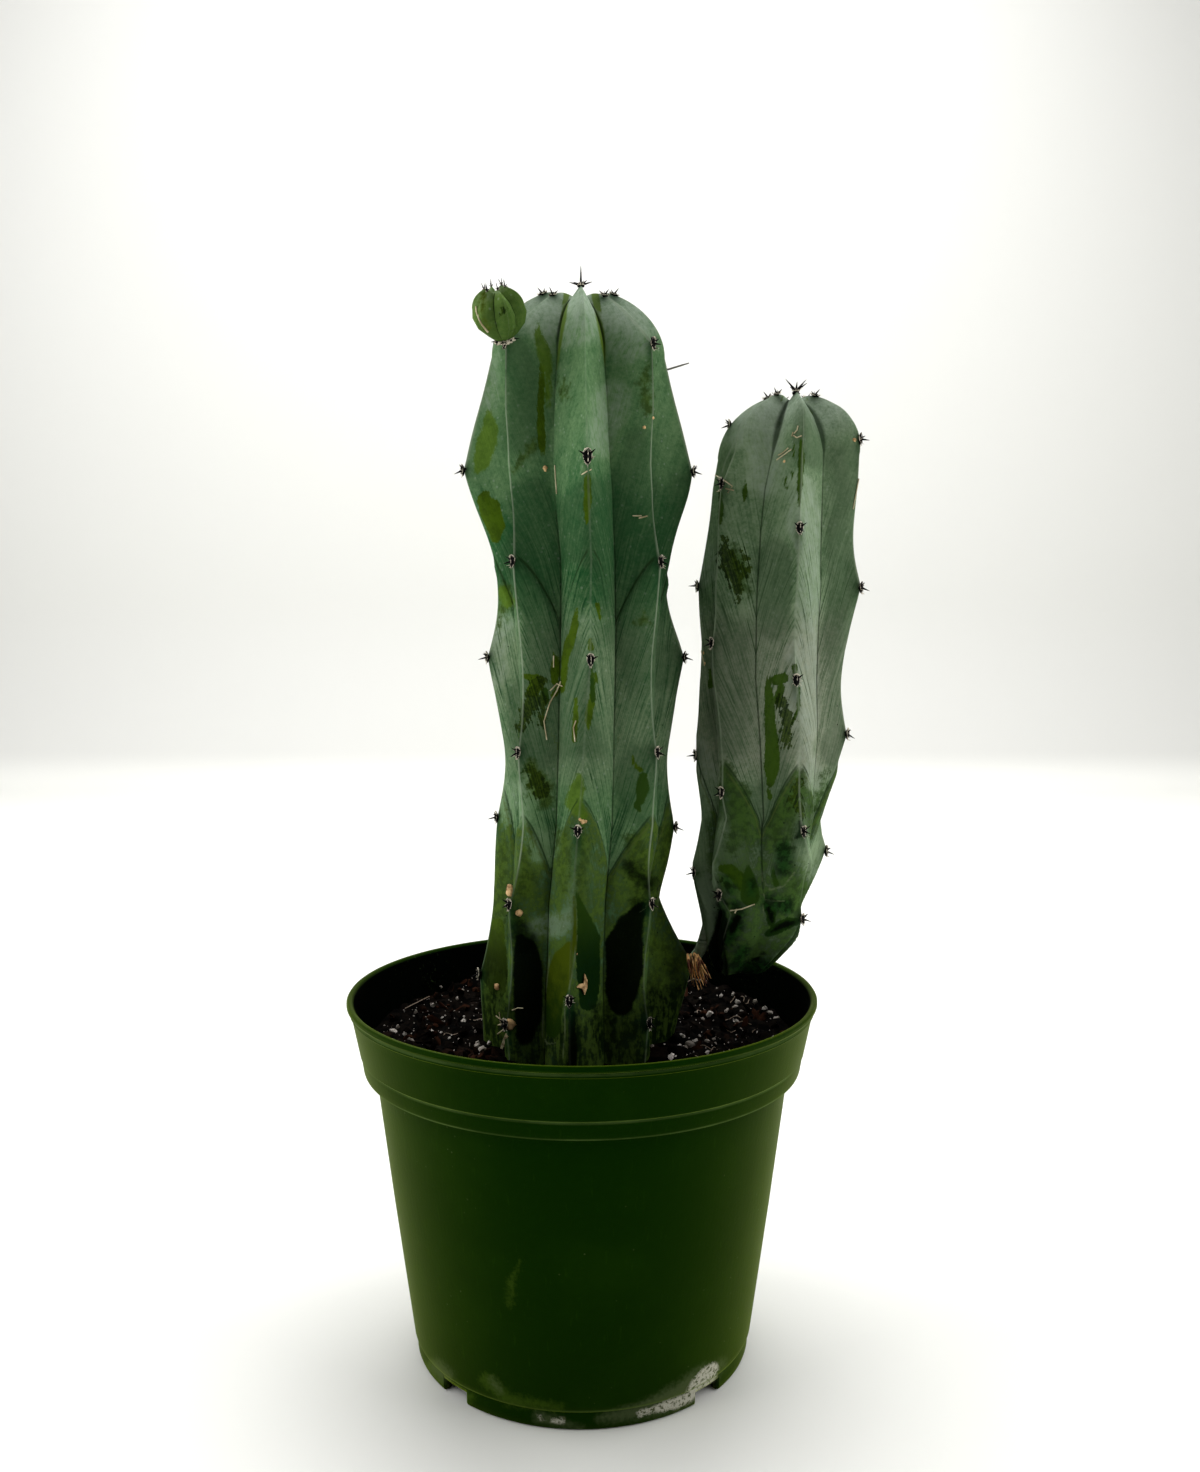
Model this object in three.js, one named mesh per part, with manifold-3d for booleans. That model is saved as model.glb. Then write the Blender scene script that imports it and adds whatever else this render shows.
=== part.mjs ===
// A potted blue candle cactus: a ribbed main stem in soil, a side stem branching from
// its foot, a young offset near its top, and the plain plastic nursery pot that holds them.
// Millimetres, +Z up. The origin is the middle of the pot's underside, on the floor.
// Angles are in degrees round a vertical axis, 0 at the front (-Y) and 90 at the right (+X).

import * as THREE from 'three';
import { mergeVertices } from 'three/addons/utils/BufferGeometryUtils.js';
import Module from 'manifold-3d';

const wasm = await Module();
wasm.setup();

// Driving dimensions

const gap = 0.35;

const pot = {
  height: 127.2,
  rimRadius: 82.5,
  wall: 1.6,
  lipDepth: 1.8,
  lipStandOut: 1.1,
  bandDepth: 24.8,
  bandFootRadius: 76.8,
  creaseDrop: 18.7,
  creaseStep: 0.35,
  shoulderRadius: 72.9,
  wallFootRadius: 60.3,
  footRing: 6.4,
  footRadius: 59.4,
  footRound: 1.2,
  channelInner: 40,
  channelHeight: 4.8,
  discRadius: 36,
  notches: 4,
  firstNotch: 45,
  notchWidth: 12,
  drainInner: 48,
  drainWidth: 9,
  segments: 56,
};

const soilTop = 109.5;
const soilSlump = 1.4;
const soilTilt = 0.05;
// Rings of the soil's surface, as shares of its edge
const surfaceShares = [1, 0.96, 0.86, 0.74, 0.62, 0.5, 0.36, 0.2, 0];
const perliteCount = 32;
const barkCount = 10;

// Crests, furrows, dips and sways are lists of [height, value], from the foot up
const foot = [[62, 0], [66, 17], [76, 24]];
const evenCrest = [...foot, [107, 33], [133, 34.5], [189, 31.5], [245, 34.1], [309, 39.4], [347, 29.5]];
const oddCrest = [...foot, [107, 32], [122, 34], [163, 33.4], [214, 32.4], [277, 34], [347, 33.5]];
const flaredCrest = [...foot, [107, 34], [136, 41.5], [160, 31], ...evenCrest.slice(5)];
const evenLevels = [133, 189, 245, 309];
const oddLevels = [122, 163, 214, 277, 347];
const evenDip = [[133, 2.4], [189, 3.4], [245, 4.8], [309, 7.4]];
const oddDip = [[122, 2], [163, 2.6], [277, 3.2], [347, 3]];
const flaredDip = [[133, 2.4], [189, 3.4], [245, 5.4], [280, 9.5]];
const frontSway = [[133, -7], [189, -9], [245, -1], [309, 1]];
const even = { crest: evenCrest, levels: evenLevels, dip: evenDip, rise: 23, slope: 1 };
const odd = { crest: oddCrest, levels: oddLevels, dip: oddDip, rise: 21.5, slope: 2.1 };
const flared = { ...even, crest: flaredCrest, dip: flaredDip, levels: [136, 185, 245, 309] };

const mainStem = {
  shoulder: 347,
  top: 370,
  crownDip: 3.5,
  crownTip: 12,
  centre: [[133, -2, 0], [163, -0.9, 0], [189, 1.7, 0], [277, 1.3, 0], [309, -1.1, 0]],
  furrow: [[62, 0], [66, 15], [76, 21], [107, 26], [140, 24.5], [245, 23.5], [309, 22.5], [347, 19.5]],
  ribs: [
    { angle: 4, sway: frontSway, ...even },
    { angle: 47, ...odd },
    { angle: 93, ...flared },
    { angle: 138, ...odd },
    { angle: 183, ...even },
    { angle: 228, ...odd },
    { angle: 272, ...even },
    { angle: 316, ...odd },
  ],
  bands: [[62, 76, 3], [76, 107, 3], [107, 347, 32], [347, 370, 9]],
};
const branchRib = 2;
const oldSpineRib = 3;
const oldSpineLength = 17;
const tipSpineLength = 6.5;
const pupRib = 7;

const sideCrest = [
  [131, 0], [133, 5], [137, 8.4], [147, 16.2], [156, 18], [164, 20.2], [172, 24], [190, 22.8],
  [217, 26.6], [250, 26.6], [270, 28.6], [304, 26.4], [314, 25],
];
const sideDip = [[150, 1.4], [200, 2.8], [314, 2.6]];
const sideTwist = [[156, 34], [186, 20], [238, 1], [288, -4], [314, -5]];
const sideRib = { crest: sideCrest, dip: sideDip, sway: sideTwist, rise: 20, slope: 1 };

const sideStem = {
  shoulder: 314,
  top: 336.5,
  crownDip: 5,
  crownTip: 8,
  centre: [
    [131, 56.6, 6], [147, 59.6, 6], [168, 61.4, 6], [190, 64.7, 6],
    [217, 66.6, 6], [262, 68.4, 6], [330, 72.6, 6],
  ],
  furrow: [[131, 0], [133, 4.3], [137, 7.4], [147, 13.2], [172, 17], [217, 19], [270, 19.5], [314, 17]],
  ribs: [
    { angle: 8, levels: [156, 186, 238, 288], ...sideRib, rise: 22.5 },
    { angle: 74, levels: [175, 218, 269, 317], ...sideRib },
    { angle: 136, levels: [163, 206, 255, 306], ...sideRib },
    { angle: 197, levels: [182, 231, 281], ...sideRib },
    { angle: 257, levels: [169, 210, 270, 322], ...sideRib, dip: [[150, 0.8]] },
    { angle: 299, levels: [150, 199, 250, 304], ...sideRib },
  ],
  bands: [[131, 137, 3], [137, 314, 25], [314, 336.5, 8]],
};
const neckStart = new THREE.Vector3(37, 3, 133);
const neckEnd = new THREE.Vector3(56, 6, 143);
const neckRadii = [5.2, 9];

const pupCrest = [[0, 0], [0.6, 2.4], [2, 4.6], [5, 7.7], [8.5, 8.9], [11, 8.5]];
const pup = {
  shoulder: 11,
  top: 17.4,
  crownDip: 2,
  crownTip: 3.4,
  centre: [[0, 0, 0]],
  furrow: [[0, 0], [0.6, 2], [2, 3.5], [5, 5.8], [8.5, 6.6], [11, 5.9]],
  ribs: [8, 68, 128, 188, 248, 308].map((angle) => (
    { angle, crest: pupCrest, levels: [], dip: [[0, 0]], rise: 6.4, slope: 1 }
  )),
  bands: [[0, 5, 4], [5, 11, 3], [11, 17.4, 5]],
};
const pupSeat = 346.5;
const pupLean = new THREE.Vector3(-0.24, -0.5, 1).normalize();
const pupLift = 0.9;

const columnsPerRib = 4;
const chevron = 26;
const flankBulge = 1.1;
const waistPlace = 1.45;

const spineRadius = 0.5;
const spineRoot = 1.6;
const padRadius = 1.9;
// Each spine points out, up and sideways by these shares, and has its own length
const spineFan = [
  [1, -0.35, 0, 3.6],
  [0.5, 0.6, 0.85, 3],
  [0.5, 0.6, -0.85, 3],
];

// Materials

function finish(name, color, roughness) {
  return new THREE.MeshStandardMaterial({ name, color, roughness, metalness: 0 });
}

const potPlastic = finish('pot_plastic', 0x18330a, 0.42);
const pottingSoil = finish('potting_soil', 0x17110d, 0.95);
const stemSkin = finish('stem_skin', 0x4f7355, 0.55);
const sideSkin = finish('side_skin', 0x53755a, 0.55);
const youngSkin = finish('young_skin', 0x5d7a35, 0.5);

// Small helpers

const radians = THREE.MathUtils.degToRad;

function outward(angle) {
  return new THREE.Vector3(Math.sin(radians(angle)), -Math.cos(radians(angle)), 0);
}

// The value at a height on a list of [height, value, value...] rows, joined by straight lines
function along(rows, height, column = 1) {
  const above = rows.findIndex((row) => row[0] >= height);
  if (above === -1) {
    return rows[rows.length - 1][column];
  }
  if (above === 0) {
    return rows[0][column];
  }
  const low = rows[above - 1];
  const high = rows[above];
  const share = (height - low[0]) / (high[0] - low[0]);
  return THREE.MathUtils.lerp(low[column], high[column], share);
}

// A repeatable row of random numbers from 0 to 1
function seededRandom(seed) {
  let state = seed;
  return () => {
    state = (state * 1664525 + 1013904223) % 4294967296;
    return state / 4294967296;
  };
}

// Steps between the ends of each band: [start, end, count]
function stations(bands) {
  const heights = [bands[0][0]];
  for (const [start, end, count] of bands) {
    for (let step = 1; step <= count; step += 1) {
      heights.push(THREE.MathUtils.lerp(start, end, step / count));
    }
  }
  return heights;
}

// A sphere's grid of points moved on to another closed surface, pole at the foot to pole at the top
function skin(columns, rows, place) {
  const geometry = new THREE.SphereGeometry(1, columns, rows);
  const position = geometry.getAttribute('position');
  const uv = geometry.getAttribute('uv');
  for (let index = 0; index < position.count; index += 1) {
    const row = Math.round(uv.getY(index) * rows);
    const atPole = row === 0 || row === rows;
    const column = atPole ? 0 : Math.round(uv.getX(index) * columns) % columns;
    position.setXYZ(index, ...place(column, row).toArray());
  }
  return bare(geometry);
}

// A geometry with nothing but its merged points and triangles
function bare(geometry) {
  geometry.deleteAttribute('normal');
  geometry.deleteAttribute('uv');
  return mergeVertices(geometry, 1e-4);
}

function toSolid(geometry) {
  const vertProperties = new Float32Array(geometry.getAttribute('position').array);
  const triVerts = new Uint32Array(geometry.getIndex().array);
  return new wasm.Manifold(new wasm.Mesh({ numProp: 3, vertProperties, triVerts }));
}

function toMesh(name, solid, material) {
  const { vertProperties, triVerts } = solid.getMesh();
  const geometry = new THREE.BufferGeometry();
  geometry.setAttribute('position', new THREE.BufferAttribute(vertProperties, 3));
  geometry.setIndex(new THREE.BufferAttribute(triVerts, 1));
  geometry.computeVertexNormals();
  const mesh = new THREE.Mesh(geometry, material);
  mesh.name = name;
  return mesh;
}

// Ribbed stems

// A rib's crest stands highest at its areoles and is pinched just above each of them
function crestRadius(rib, height) {
  const envelope = along(rib.crest, height);
  const upper = rib.levels.findIndex((level) => level > height);
  if (upper < 1) {
    return envelope;
  }
  const high = rib.levels[upper];
  const low = rib.levels[upper - 1];
  const drop = (high - height) / (high - low);
  return envelope - along(rib.dip, height) * Math.sin(Math.PI * drop ** waistPlace);
}

function crownTurn(stem, height) {
  const share = (height - stem.shoulder) / (stem.top - stem.shoulder);
  return radians(90 * THREE.MathUtils.clamp(share, 0, 1));
}

// The crest line climbs over the shoulder, round the crown, and dips into the growing tip
function crestPoint(stem, rib, height, slide, grow) {
  const turn = crownTurn(stem, height);
  const shaft = Math.min(height, stem.shoulder);
  const reach = turn > 0 ? rib.crest.at(-1)[1] : crestRadius(rib, shaft + slide);
  const radius = reach * Math.cos(turn);
  const sunk = THREE.MathUtils.smoothstep(stem.crownTip - radius, 0, stem.crownTip);
  const pit = stem.top - stem.shoulder - stem.crownDip;
  const lift = THREE.MathUtils.lerp(rib.rise * Math.sin(turn) ** rib.slope, pit, sunk);
  return { radius: radius + (radius > 0 ? grow : 0), height: shaft + lift };
}

function furrowPoint(stem, height, grow) {
  const turn = crownTurn(stem, height);
  const shaft = Math.min(height, stem.shoulder);
  const radius = along(stem.furrow, shaft) * Math.cos(turn);
  const lift = (stem.top - stem.shoulder - stem.crownDip) * Math.sin(turn) ** 1.5;
  return { radius: radius + (radius > 0 ? grow : 0), height: shaft + lift };
}

function ribAngle(rib, height) {
  return rib.angle + (rib.sway ? along(rib.sway, height) : 0);
}

function shiftToCentre(stem, point) {
  point.x += along(stem.centre, point.z, 1);
  point.y += along(stem.centre, point.z, 2);
  return point;
}

// Each flank is nearly flat from the furrow, 0, to the crest, 1, and swells a little between
function stemPoint(stem, column, height, grow) {
  const count = stem.ribs.length;
  const index = Math.floor(column / columnsPerRib) % count;
  const place = (column % columnsPerRib) / columnsPerRib;
  const rib = stem.ribs[index];
  const next = stem.ribs[(index + (place < 0.5 ? count - 1 : 1)) % count];
  const angle = ribAngle(rib, height);
  const span = ((ribAngle(next, height) - angle + 900) % 360) - 180;
  const flank = 1 - Math.abs(place - 0.5) * 2;
  const crest = crestPoint(stem, rib, height, chevron * (1 - flank), grow);
  const furrow = furrowPoint(stem, height, grow);
  const top = outward(angle).multiplyScalar(crest.radius).setZ(crest.height);
  const valley = outward(angle + span / 2).multiplyScalar(furrow.radius).setZ(furrow.height);
  const point = valley.lerp(top, flank);
  const middle = 4 * flank * (1 - flank) * Math.cos(crownTurn(stem, height));
  const swell = 1 + (flankBulge * middle) / Math.max(crest.radius, 20);
  point.x *= swell;
  point.y *= swell;
  return shiftToCentre(stem, point);
}

function ribbedStem(stem, grow = 0) {
  const heights = stations(stem.bands);
  const last = heights.length - 1;
  return skin(stem.ribs.length * columnsPerRib, last, (column, row) => {
    const point = stemPoint(stem, column, heights[row], row === 0 || row === last ? 0 : grow);
    if (row === 0) {
      point.z -= grow;
    }
    if (row === last) {
      point.z += grow;
    }
    return point;
  });
}

// Areoles: a felt pad with a fan of short spines, each rooted in the crest

function spine(at, direction, length) {
  const cone = new THREE.ConeGeometry(spineRadius, length + spineRoot, 3);
  cone.translate(0, (length - spineRoot) / 2, 0);
  const turn = new THREE.Quaternion().setFromUnitVectors(new THREE.Vector3(0, 1, 0), direction);
  cone.applyQuaternion(turn);
  cone.translate(at.x, at.y, at.z);
  return toSolid(bare(cone));
}

function areole(at, out, up, size) {
  const side = new THREE.Vector3().crossVectors(up, out);
  const pad = new THREE.OctahedronGeometry(padRadius * size);
  pad.translate(at.x, at.y, at.z);
  const pieces = [toSolid(bare(pad))];
  for (const [outShare, upShare, sideShare, length] of spineFan) {
    const direction = new THREE.Vector3()
      .addScaledVector(out, outShare)
      .addScaledVector(up, upShare)
      .addScaledVector(side, sideShare)
      .normalize();
    pieces.push(spine(at, direction, length * size));
  }
  return pieces;
}

function crestAt(stem, rib, height) {
  const crest = crestPoint(stem, rib, height, 0, 0);
  const point = outward(ribAngle(rib, height)).multiplyScalar(crest.radius).setZ(crest.height);
  return shiftToCentre(stem, point);
}

// No areole shows where a branch or an offset has grown out of it
function sideAreoles(stem, bareSpots) {
  const up = new THREE.Vector3(0, 0, 1);
  return stem.ribs.flatMap((rib, index) => rib.levels.flatMap((level) => {
    const grownOver = bareSpots.some(([ribIndex, height]) => ribIndex === index && height === level);
    return grownOver ? [] : areole(crestAt(stem, rib, level), outward(ribAngle(rib, level)), up, 1);
  }));
}

// The height along a rib where it begins to dip into the growing tip
function crownHeight(stem, rib) {
  const turn = Math.acos(stem.crownTip / rib.crest.at(-1)[1]);
  const share = THREE.MathUtils.radToDeg(turn) / 90;
  return THREE.MathUtils.lerp(stem.shoulder, stem.top, share);
}

// The youngest areoles crown the ribs, with their spines standing up
function crownAreoles(stem, everyOther, size) {
  return stem.ribs.filter((rib, index) => index % everyOther === 0).flatMap((rib) => {
    const height = crownHeight(stem, rib);
    const away = outward(ribAngle(rib, height));
    const out = new THREE.Vector3(0, 0, 1).addScaledVector(away, 0.35).normalize();
    const up = away.clone().negate().addScaledVector(out, away.dot(out)).normalize();
    return areole(crestAt(stem, rib, height), out, up, size);
  });
}

// The pot

// The outside of the wall and foot, then the inside, closed on the axis
function potProfile() {
  const bandTop = pot.height - pot.lipDepth;
  const bandTopRadius = pot.rimRadius - pot.lipStandOut;
  const crease = pot.height - pot.creaseDrop;
  const bandFoot = pot.height - pot.bandDepth;
  const share = (bandTop - crease) / (bandTop - bandFoot);
  const creaseRadius = THREE.MathUtils.lerp(bandTopRadius, pot.bandFootRadius, share);
  const channelFloor = pot.channelHeight + pot.wall;
  return [
    [0, 0],
    [pot.discRadius, 0],
    [pot.channelInner, pot.channelHeight],
    [pot.footRadius - 2 * pot.wall, pot.channelHeight],
    [pot.footRadius - 2 * pot.wall, 0],
    [pot.footRadius - pot.footRound, 0],
    [pot.footRadius, pot.footRound],
    [pot.footRadius, pot.footRing],
    [pot.wallFootRadius, pot.footRing + 0.6],
    [pot.shoulderRadius, bandFoot],
    [pot.bandFootRadius, bandFoot],
    [creaseRadius - pot.creaseStep, crease - pot.creaseStep],
    [creaseRadius, crease],
    [bandTopRadius, bandTop],
    [pot.rimRadius - 0.3, bandTop + 0.1],
    [pot.rimRadius, bandTop + 0.6],
    [pot.rimRadius, pot.height - 0.6],
    [pot.rimRadius - 0.5, pot.height],
    [bandTopRadius - 0.4, pot.height],
    [bandTopRadius - pot.wall, bandTop],
    [pot.bandFootRadius - pot.wall, bandFoot + pot.wall],
    [pot.shoulderRadius - pot.wall, bandFoot + pot.wall],
    [pot.wallFootRadius - pot.wall, channelFloor],
    [pot.channelInner - pot.wall, channelFloor],
    [pot.discRadius - pot.wall, pot.wall],
    [0, pot.wall],
  ];
}

function lathe(profile) {
  const points = profile.map(([radius, height]) => new THREE.Vector2(radius, height));
  const geometry = new THREE.LatheGeometry(points, pot.segments);
  geometry.rotateX(Math.PI / 2);
  return bare(geometry);
}

function block(width, inner, outer, bottom, top, angle) {
  const geometry = new THREE.BoxGeometry(width, outer - inner, top - bottom);
  geometry.translate(0, -(outer + inner) / 2, (top + bottom) / 2);
  geometry.rotateZ(radians(angle));
  return toSolid(bare(geometry));
}

function makePot() {
  let body = toSolid(lathe(potProfile()));
  for (let notch = 0; notch < pot.notches; notch += 1) {
    const angle = pot.firstNotch + (notch * 360) / pot.notches;
    const inner = pot.footRadius - 3 * pot.wall;
    body = body.subtract(block(pot.notchWidth, inner, pot.rimRadius, -1, pot.channelHeight, angle));
    body = body.subtract(block(pot.drainWidth, pot.drainInner, inner, 1, pot.channelHeight + 4, angle));
  }
  return body;
}

// The soil: it fills the pot to below the rim, a little uneven and higher at the back

function soilRelief(x, y) {
  const broad = Math.sin(x * 0.07 + 0.6) * Math.cos(y * 0.06 - 0.4);
  const fine = Math.sin(x * 0.31 + y * 0.17) * Math.cos(y * 0.37 - x * 0.11);
  return soilTilt * y + soilSlump * (0.6 * broad + 0.4 * fine);
}

// The soil's radius against the inside of the pot's band
function soilEdge(height) {
  const bandFoot = pot.height - pot.bandDepth;
  const bandTop = pot.height - pot.lipDepth;
  const share = (height - bandFoot - pot.wall) / (bandTop - bandFoot - pot.wall);
  const bandTopRadius = pot.rimRadius - pot.lipStandOut;
  return THREE.MathUtils.lerp(pot.bandFootRadius, bandTopRadius, share) - pot.wall - gap;
}

function buriedRows() {
  const shelf = pot.height - pot.bandDepth + pot.wall + gap;
  const channelFloor = pot.channelHeight + pot.wall + gap;
  const inset = pot.wall + gap;
  return [
    [0, inset],
    [pot.discRadius - inset, inset],
    [pot.channelInner - inset, channelFloor],
    [pot.wallFootRadius - inset, channelFloor],
    [pot.shoulderRadius - inset, shelf],
    [pot.bandFootRadius - inset, shelf],
  ];
}

function soilBody() {
  const buried = buriedRows();
  const count = buried.length + surfaceShares.length;
  return skin(pot.segments, count - 1, (column, row) => {
    const direction = outward((360 * column) / pot.segments);
    if (row < buried.length) {
      const [radius, height] = buried[row];
      return direction.multiplyScalar(radius).setZ(height);
    }
    const share = surfaceShares[row - buried.length];
    const level = direction.clone().multiplyScalar(soilEdge(soilTop) * share);
    const height = soilTop + soilRelief(level.x, level.y);
    return direction.multiplyScalar(soilEdge(height) * share).setZ(height);
  });
}

// Loose bits lie half sunk in the soil, clear of the stem and the wall
function scatter(count, seed, shape) {
  const random = seededRandom(seed);
  const bits = [];
  while (bits.length < count) {
    const radius = 44 + 27 * Math.sqrt(random());
    const at = outward(360 * random()).multiplyScalar(radius);
    const size = 0.6 + 0.8 * random();
    const geometry = shape(size, random);
    geometry.rotateZ(radians(360 * random()));
    geometry.translate(at.x, at.y, soilTop + soilRelief(at.x, at.y));
    bits.push(toSolid(bare(geometry)));
  }
  return bits;
}

function perlite(size, random) {
  const grain = new THREE.OctahedronGeometry(1.9 * size);
  grain.rotateX(radians(90 * random()));
  grain.scale(1.15, 0.85, 0.8);
  return grain;
}

function bark(size, random) {
  const chip = new THREE.BoxGeometry(6 * size, 2.2 * size, 1.6);
  chip.rotateX(radians(24 * random() - 12));
  chip.rotateY(radians(24 * random() - 12));
  return chip;
}

function makeSoil(stemHole) {
  const bits = [...scatter(perliteCount, 11, perlite), ...scatter(barkCount, 29, bark)];
  return wasm.Manifold.union([toSolid(soilBody()), ...bits]).subtract(stemHole);
}

// The side stem's neck: a short tapered stalk from the main stem's flared rib

function neck() {
  const length = neckStart.distanceTo(neckEnd);
  const stalk = new THREE.CylinderGeometry(neckRadii[1], neckRadii[0], length, 10);
  const direction = neckEnd.clone().sub(neckStart).normalize();
  stalk.applyQuaternion(new THREE.Quaternion().setFromUnitVectors(new THREE.Vector3(0, 1, 0), direction));
  const middle = neckStart.clone().lerp(neckEnd, 0.5);
  stalk.translate(middle.x, middle.y, middle.z);
  return toSolid(bare(stalk));
}

// The offset: a small ribbed globe seated on an areole near the main stem's top

function makePup(stemClearance) {
  const globe = wasm.Manifold.union([toSolid(ribbedStem(pup)), ...crownAreoles(pup, 2, 0.5)]);
  const seat = crestAt(mainStem, mainStem.ribs[pupRib], pupSeat);
  seat.addScaledVector(pupLean, pupLift);
  const turn = new THREE.Quaternion().setFromUnitVectors(new THREE.Vector3(0, 0, 1), pupLean);
  const placed = new THREE.Matrix4().compose(seat, turn, new THREE.Vector3(1, 1, 1));
  return globe.transform(placed.elements).subtract(stemClearance);
}

// Assembly

const stemClearance = toSolid(ribbedStem(mainStem, gap));
const bareSpots = [[branchRib, 136], [pupRib, 347]];
const oldSpineSeat = crestAt(mainStem, mainStem.ribs[oldSpineRib], 347);
const frontRib = mainStem.ribs[0];
const tipSeat = crestAt(mainStem, frontRib, crownHeight(mainStem, frontRib));

const mainBody = wasm.Manifold.union([
  toSolid(ribbedStem(mainStem)),
  ...sideAreoles(mainStem, bareSpots),
  ...crownAreoles(mainStem, 2, 1),
  spine(oldSpineSeat, new THREE.Vector3(1, 0, 0.04).normalize(), oldSpineLength),
  spine(tipSeat, new THREE.Vector3(0, 0, 1), tipSpineLength),
]);

const sideBody = wasm.Manifold.union([
  toSolid(ribbedStem(sideStem)),
  neck(),
  ...sideAreoles(sideStem, []),
  ...crownAreoles(sideStem, 2, 1),
]).subtract(stemClearance);

const plant = new THREE.Group();
plant.add(toMesh('pot', makePot(), potPlastic));
plant.add(toMesh('soil', makeSoil(stemClearance), pottingSoil));
plant.add(toMesh('main_stem', mainBody, stemSkin));
plant.add(toMesh('side_stem', sideBody, sideSkin));
plant.add(toMesh('offset_pup', makePup(stemClearance), youngSkin));

export default plant;
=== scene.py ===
"""A potted blue candle cactus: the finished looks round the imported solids.

Lengths are in millimetres and are divided by 1000 where they enter a mesh. Angles are in degrees
round a vertical axis, 0 at the front (-Y) and 90 at the right (+X).
"""

import bpy
import numpy as np
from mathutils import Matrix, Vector


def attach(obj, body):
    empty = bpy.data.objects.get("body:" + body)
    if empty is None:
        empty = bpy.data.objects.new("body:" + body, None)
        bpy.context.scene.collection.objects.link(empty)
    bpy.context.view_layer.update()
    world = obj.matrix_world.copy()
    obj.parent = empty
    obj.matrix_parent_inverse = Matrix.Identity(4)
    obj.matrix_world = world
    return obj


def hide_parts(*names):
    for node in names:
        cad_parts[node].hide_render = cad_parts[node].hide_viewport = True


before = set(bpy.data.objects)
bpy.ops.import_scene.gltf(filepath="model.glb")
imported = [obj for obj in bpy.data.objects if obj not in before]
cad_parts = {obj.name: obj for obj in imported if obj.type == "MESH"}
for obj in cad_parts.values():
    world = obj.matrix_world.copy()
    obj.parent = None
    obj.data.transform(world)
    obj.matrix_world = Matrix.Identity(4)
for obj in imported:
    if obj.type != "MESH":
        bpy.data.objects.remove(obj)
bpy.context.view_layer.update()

# The camera. It stands a little above the rim and looks slightly down, as the photo was taken.
# Marks and crumbs that were measured on the photo, in its pixels, are laid through this view.
PHOTO_WIDTH = 1200
PHOTO_HEIGHT = 1472
FOCAL_PIXELS = 1300
SENSOR = 36
EYE = np.array([6.27, -453.2, 257.0])
PITCH = np.radians(5.0)

camera = bpy.data.objects.new("camera", bpy.data.cameras.new("camera"))
camera.data.sensor_width = SENSOR
camera.data.lens = FOCAL_PIXELS * SENSOR / PHOTO_HEIGHT
camera.data.clip_start = 0.01
camera.location = EYE / 1000
camera.rotation_euler = (np.pi / 2 - PITCH, 0, 0)
bpy.context.scene.collection.objects.link(camera)
bpy.context.scene.camera = camera


def photo_place(points):
    """Where points fall on the photo: sideways and upward offsets from the eye, over the depth."""
    away = points - EYE
    depth = away[..., 1] * np.cos(PITCH) - away[..., 2] * np.sin(PITCH)
    rise = away[..., 1] * np.sin(PITCH) + away[..., 2] * np.cos(PITCH)
    across = PHOTO_WIDTH / 2 + FOCAL_PIXELS * away[..., 0] / depth
    down = PHOTO_HEIGHT / 2 - FOCAL_PIXELS * rise / depth
    return across, down


def pixel_ray(across, down):
    """The direction from the eye through a photo pixel."""
    side = (across - PHOTO_WIDTH / 2) / FOCAL_PIXELS
    rise = (PHOTO_HEIGHT / 2 - down) / FOCAL_PIXELS
    return np.array([side, np.cos(PITCH) + rise * np.sin(PITCH), rise * np.cos(PITCH) - np.sin(PITCH)])


def on_level(across, down, level):
    """The point at a given height that a photo pixel shows: the pixel's ray, cut by that level."""
    ray = pixel_ray(across, down)
    return EYE + ray * (level - EYE[2]) / ray[2]


def stroke_distance(across, down, stroke):
    """The distance in pixels from a painted stroke, below 0 inside it.

    A stroke is a chain of (across, down, half-width): the least distance to its straight links,
    less the half-width, which changes evenly along each link.
    """
    least = np.full(across.shape, 1e3)
    for (x0, y0, wide0), (x1, y1, wide1) in zip(stroke[:-1], stroke[1:]):
        length = max(np.hypot(x1 - x0, y1 - y0), 1e-6)
        share = ((across - x0) * (x1 - x0) + (down - y0) * (y1 - y0)) / length**2
        share = np.clip(share, 0, 1)
        gap = np.hypot(across - x0 - share * (x1 - x0), down - y0 - share * (y1 - y0))
        least = np.minimum(least, gap - wide0 - share * (wide1 - wide0))
    return least


# The pot. A round nursery pot moulded in thin dark green plastic, with a rim band, a rolled lip and
# a foot ring. Four notches in the ring and four slots behind them let the water out.
POT_HEIGHT = 127.2
RIM_RADIUS = 82.5
WALL = 1.6
BAND_FOOT = 102.4
NOTCH_ANGLES = (45, 135, 225, 315)
NOTCH_WIDTH = 12
DRAIN_WIDTH = 9
CHANNEL_HEIGHT = 4.8
FOOT_RADIUS = 59.4
DRAIN_INNER = 48
POT_COLUMNS = 288
PROFILE_STEP = 1.7

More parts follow.
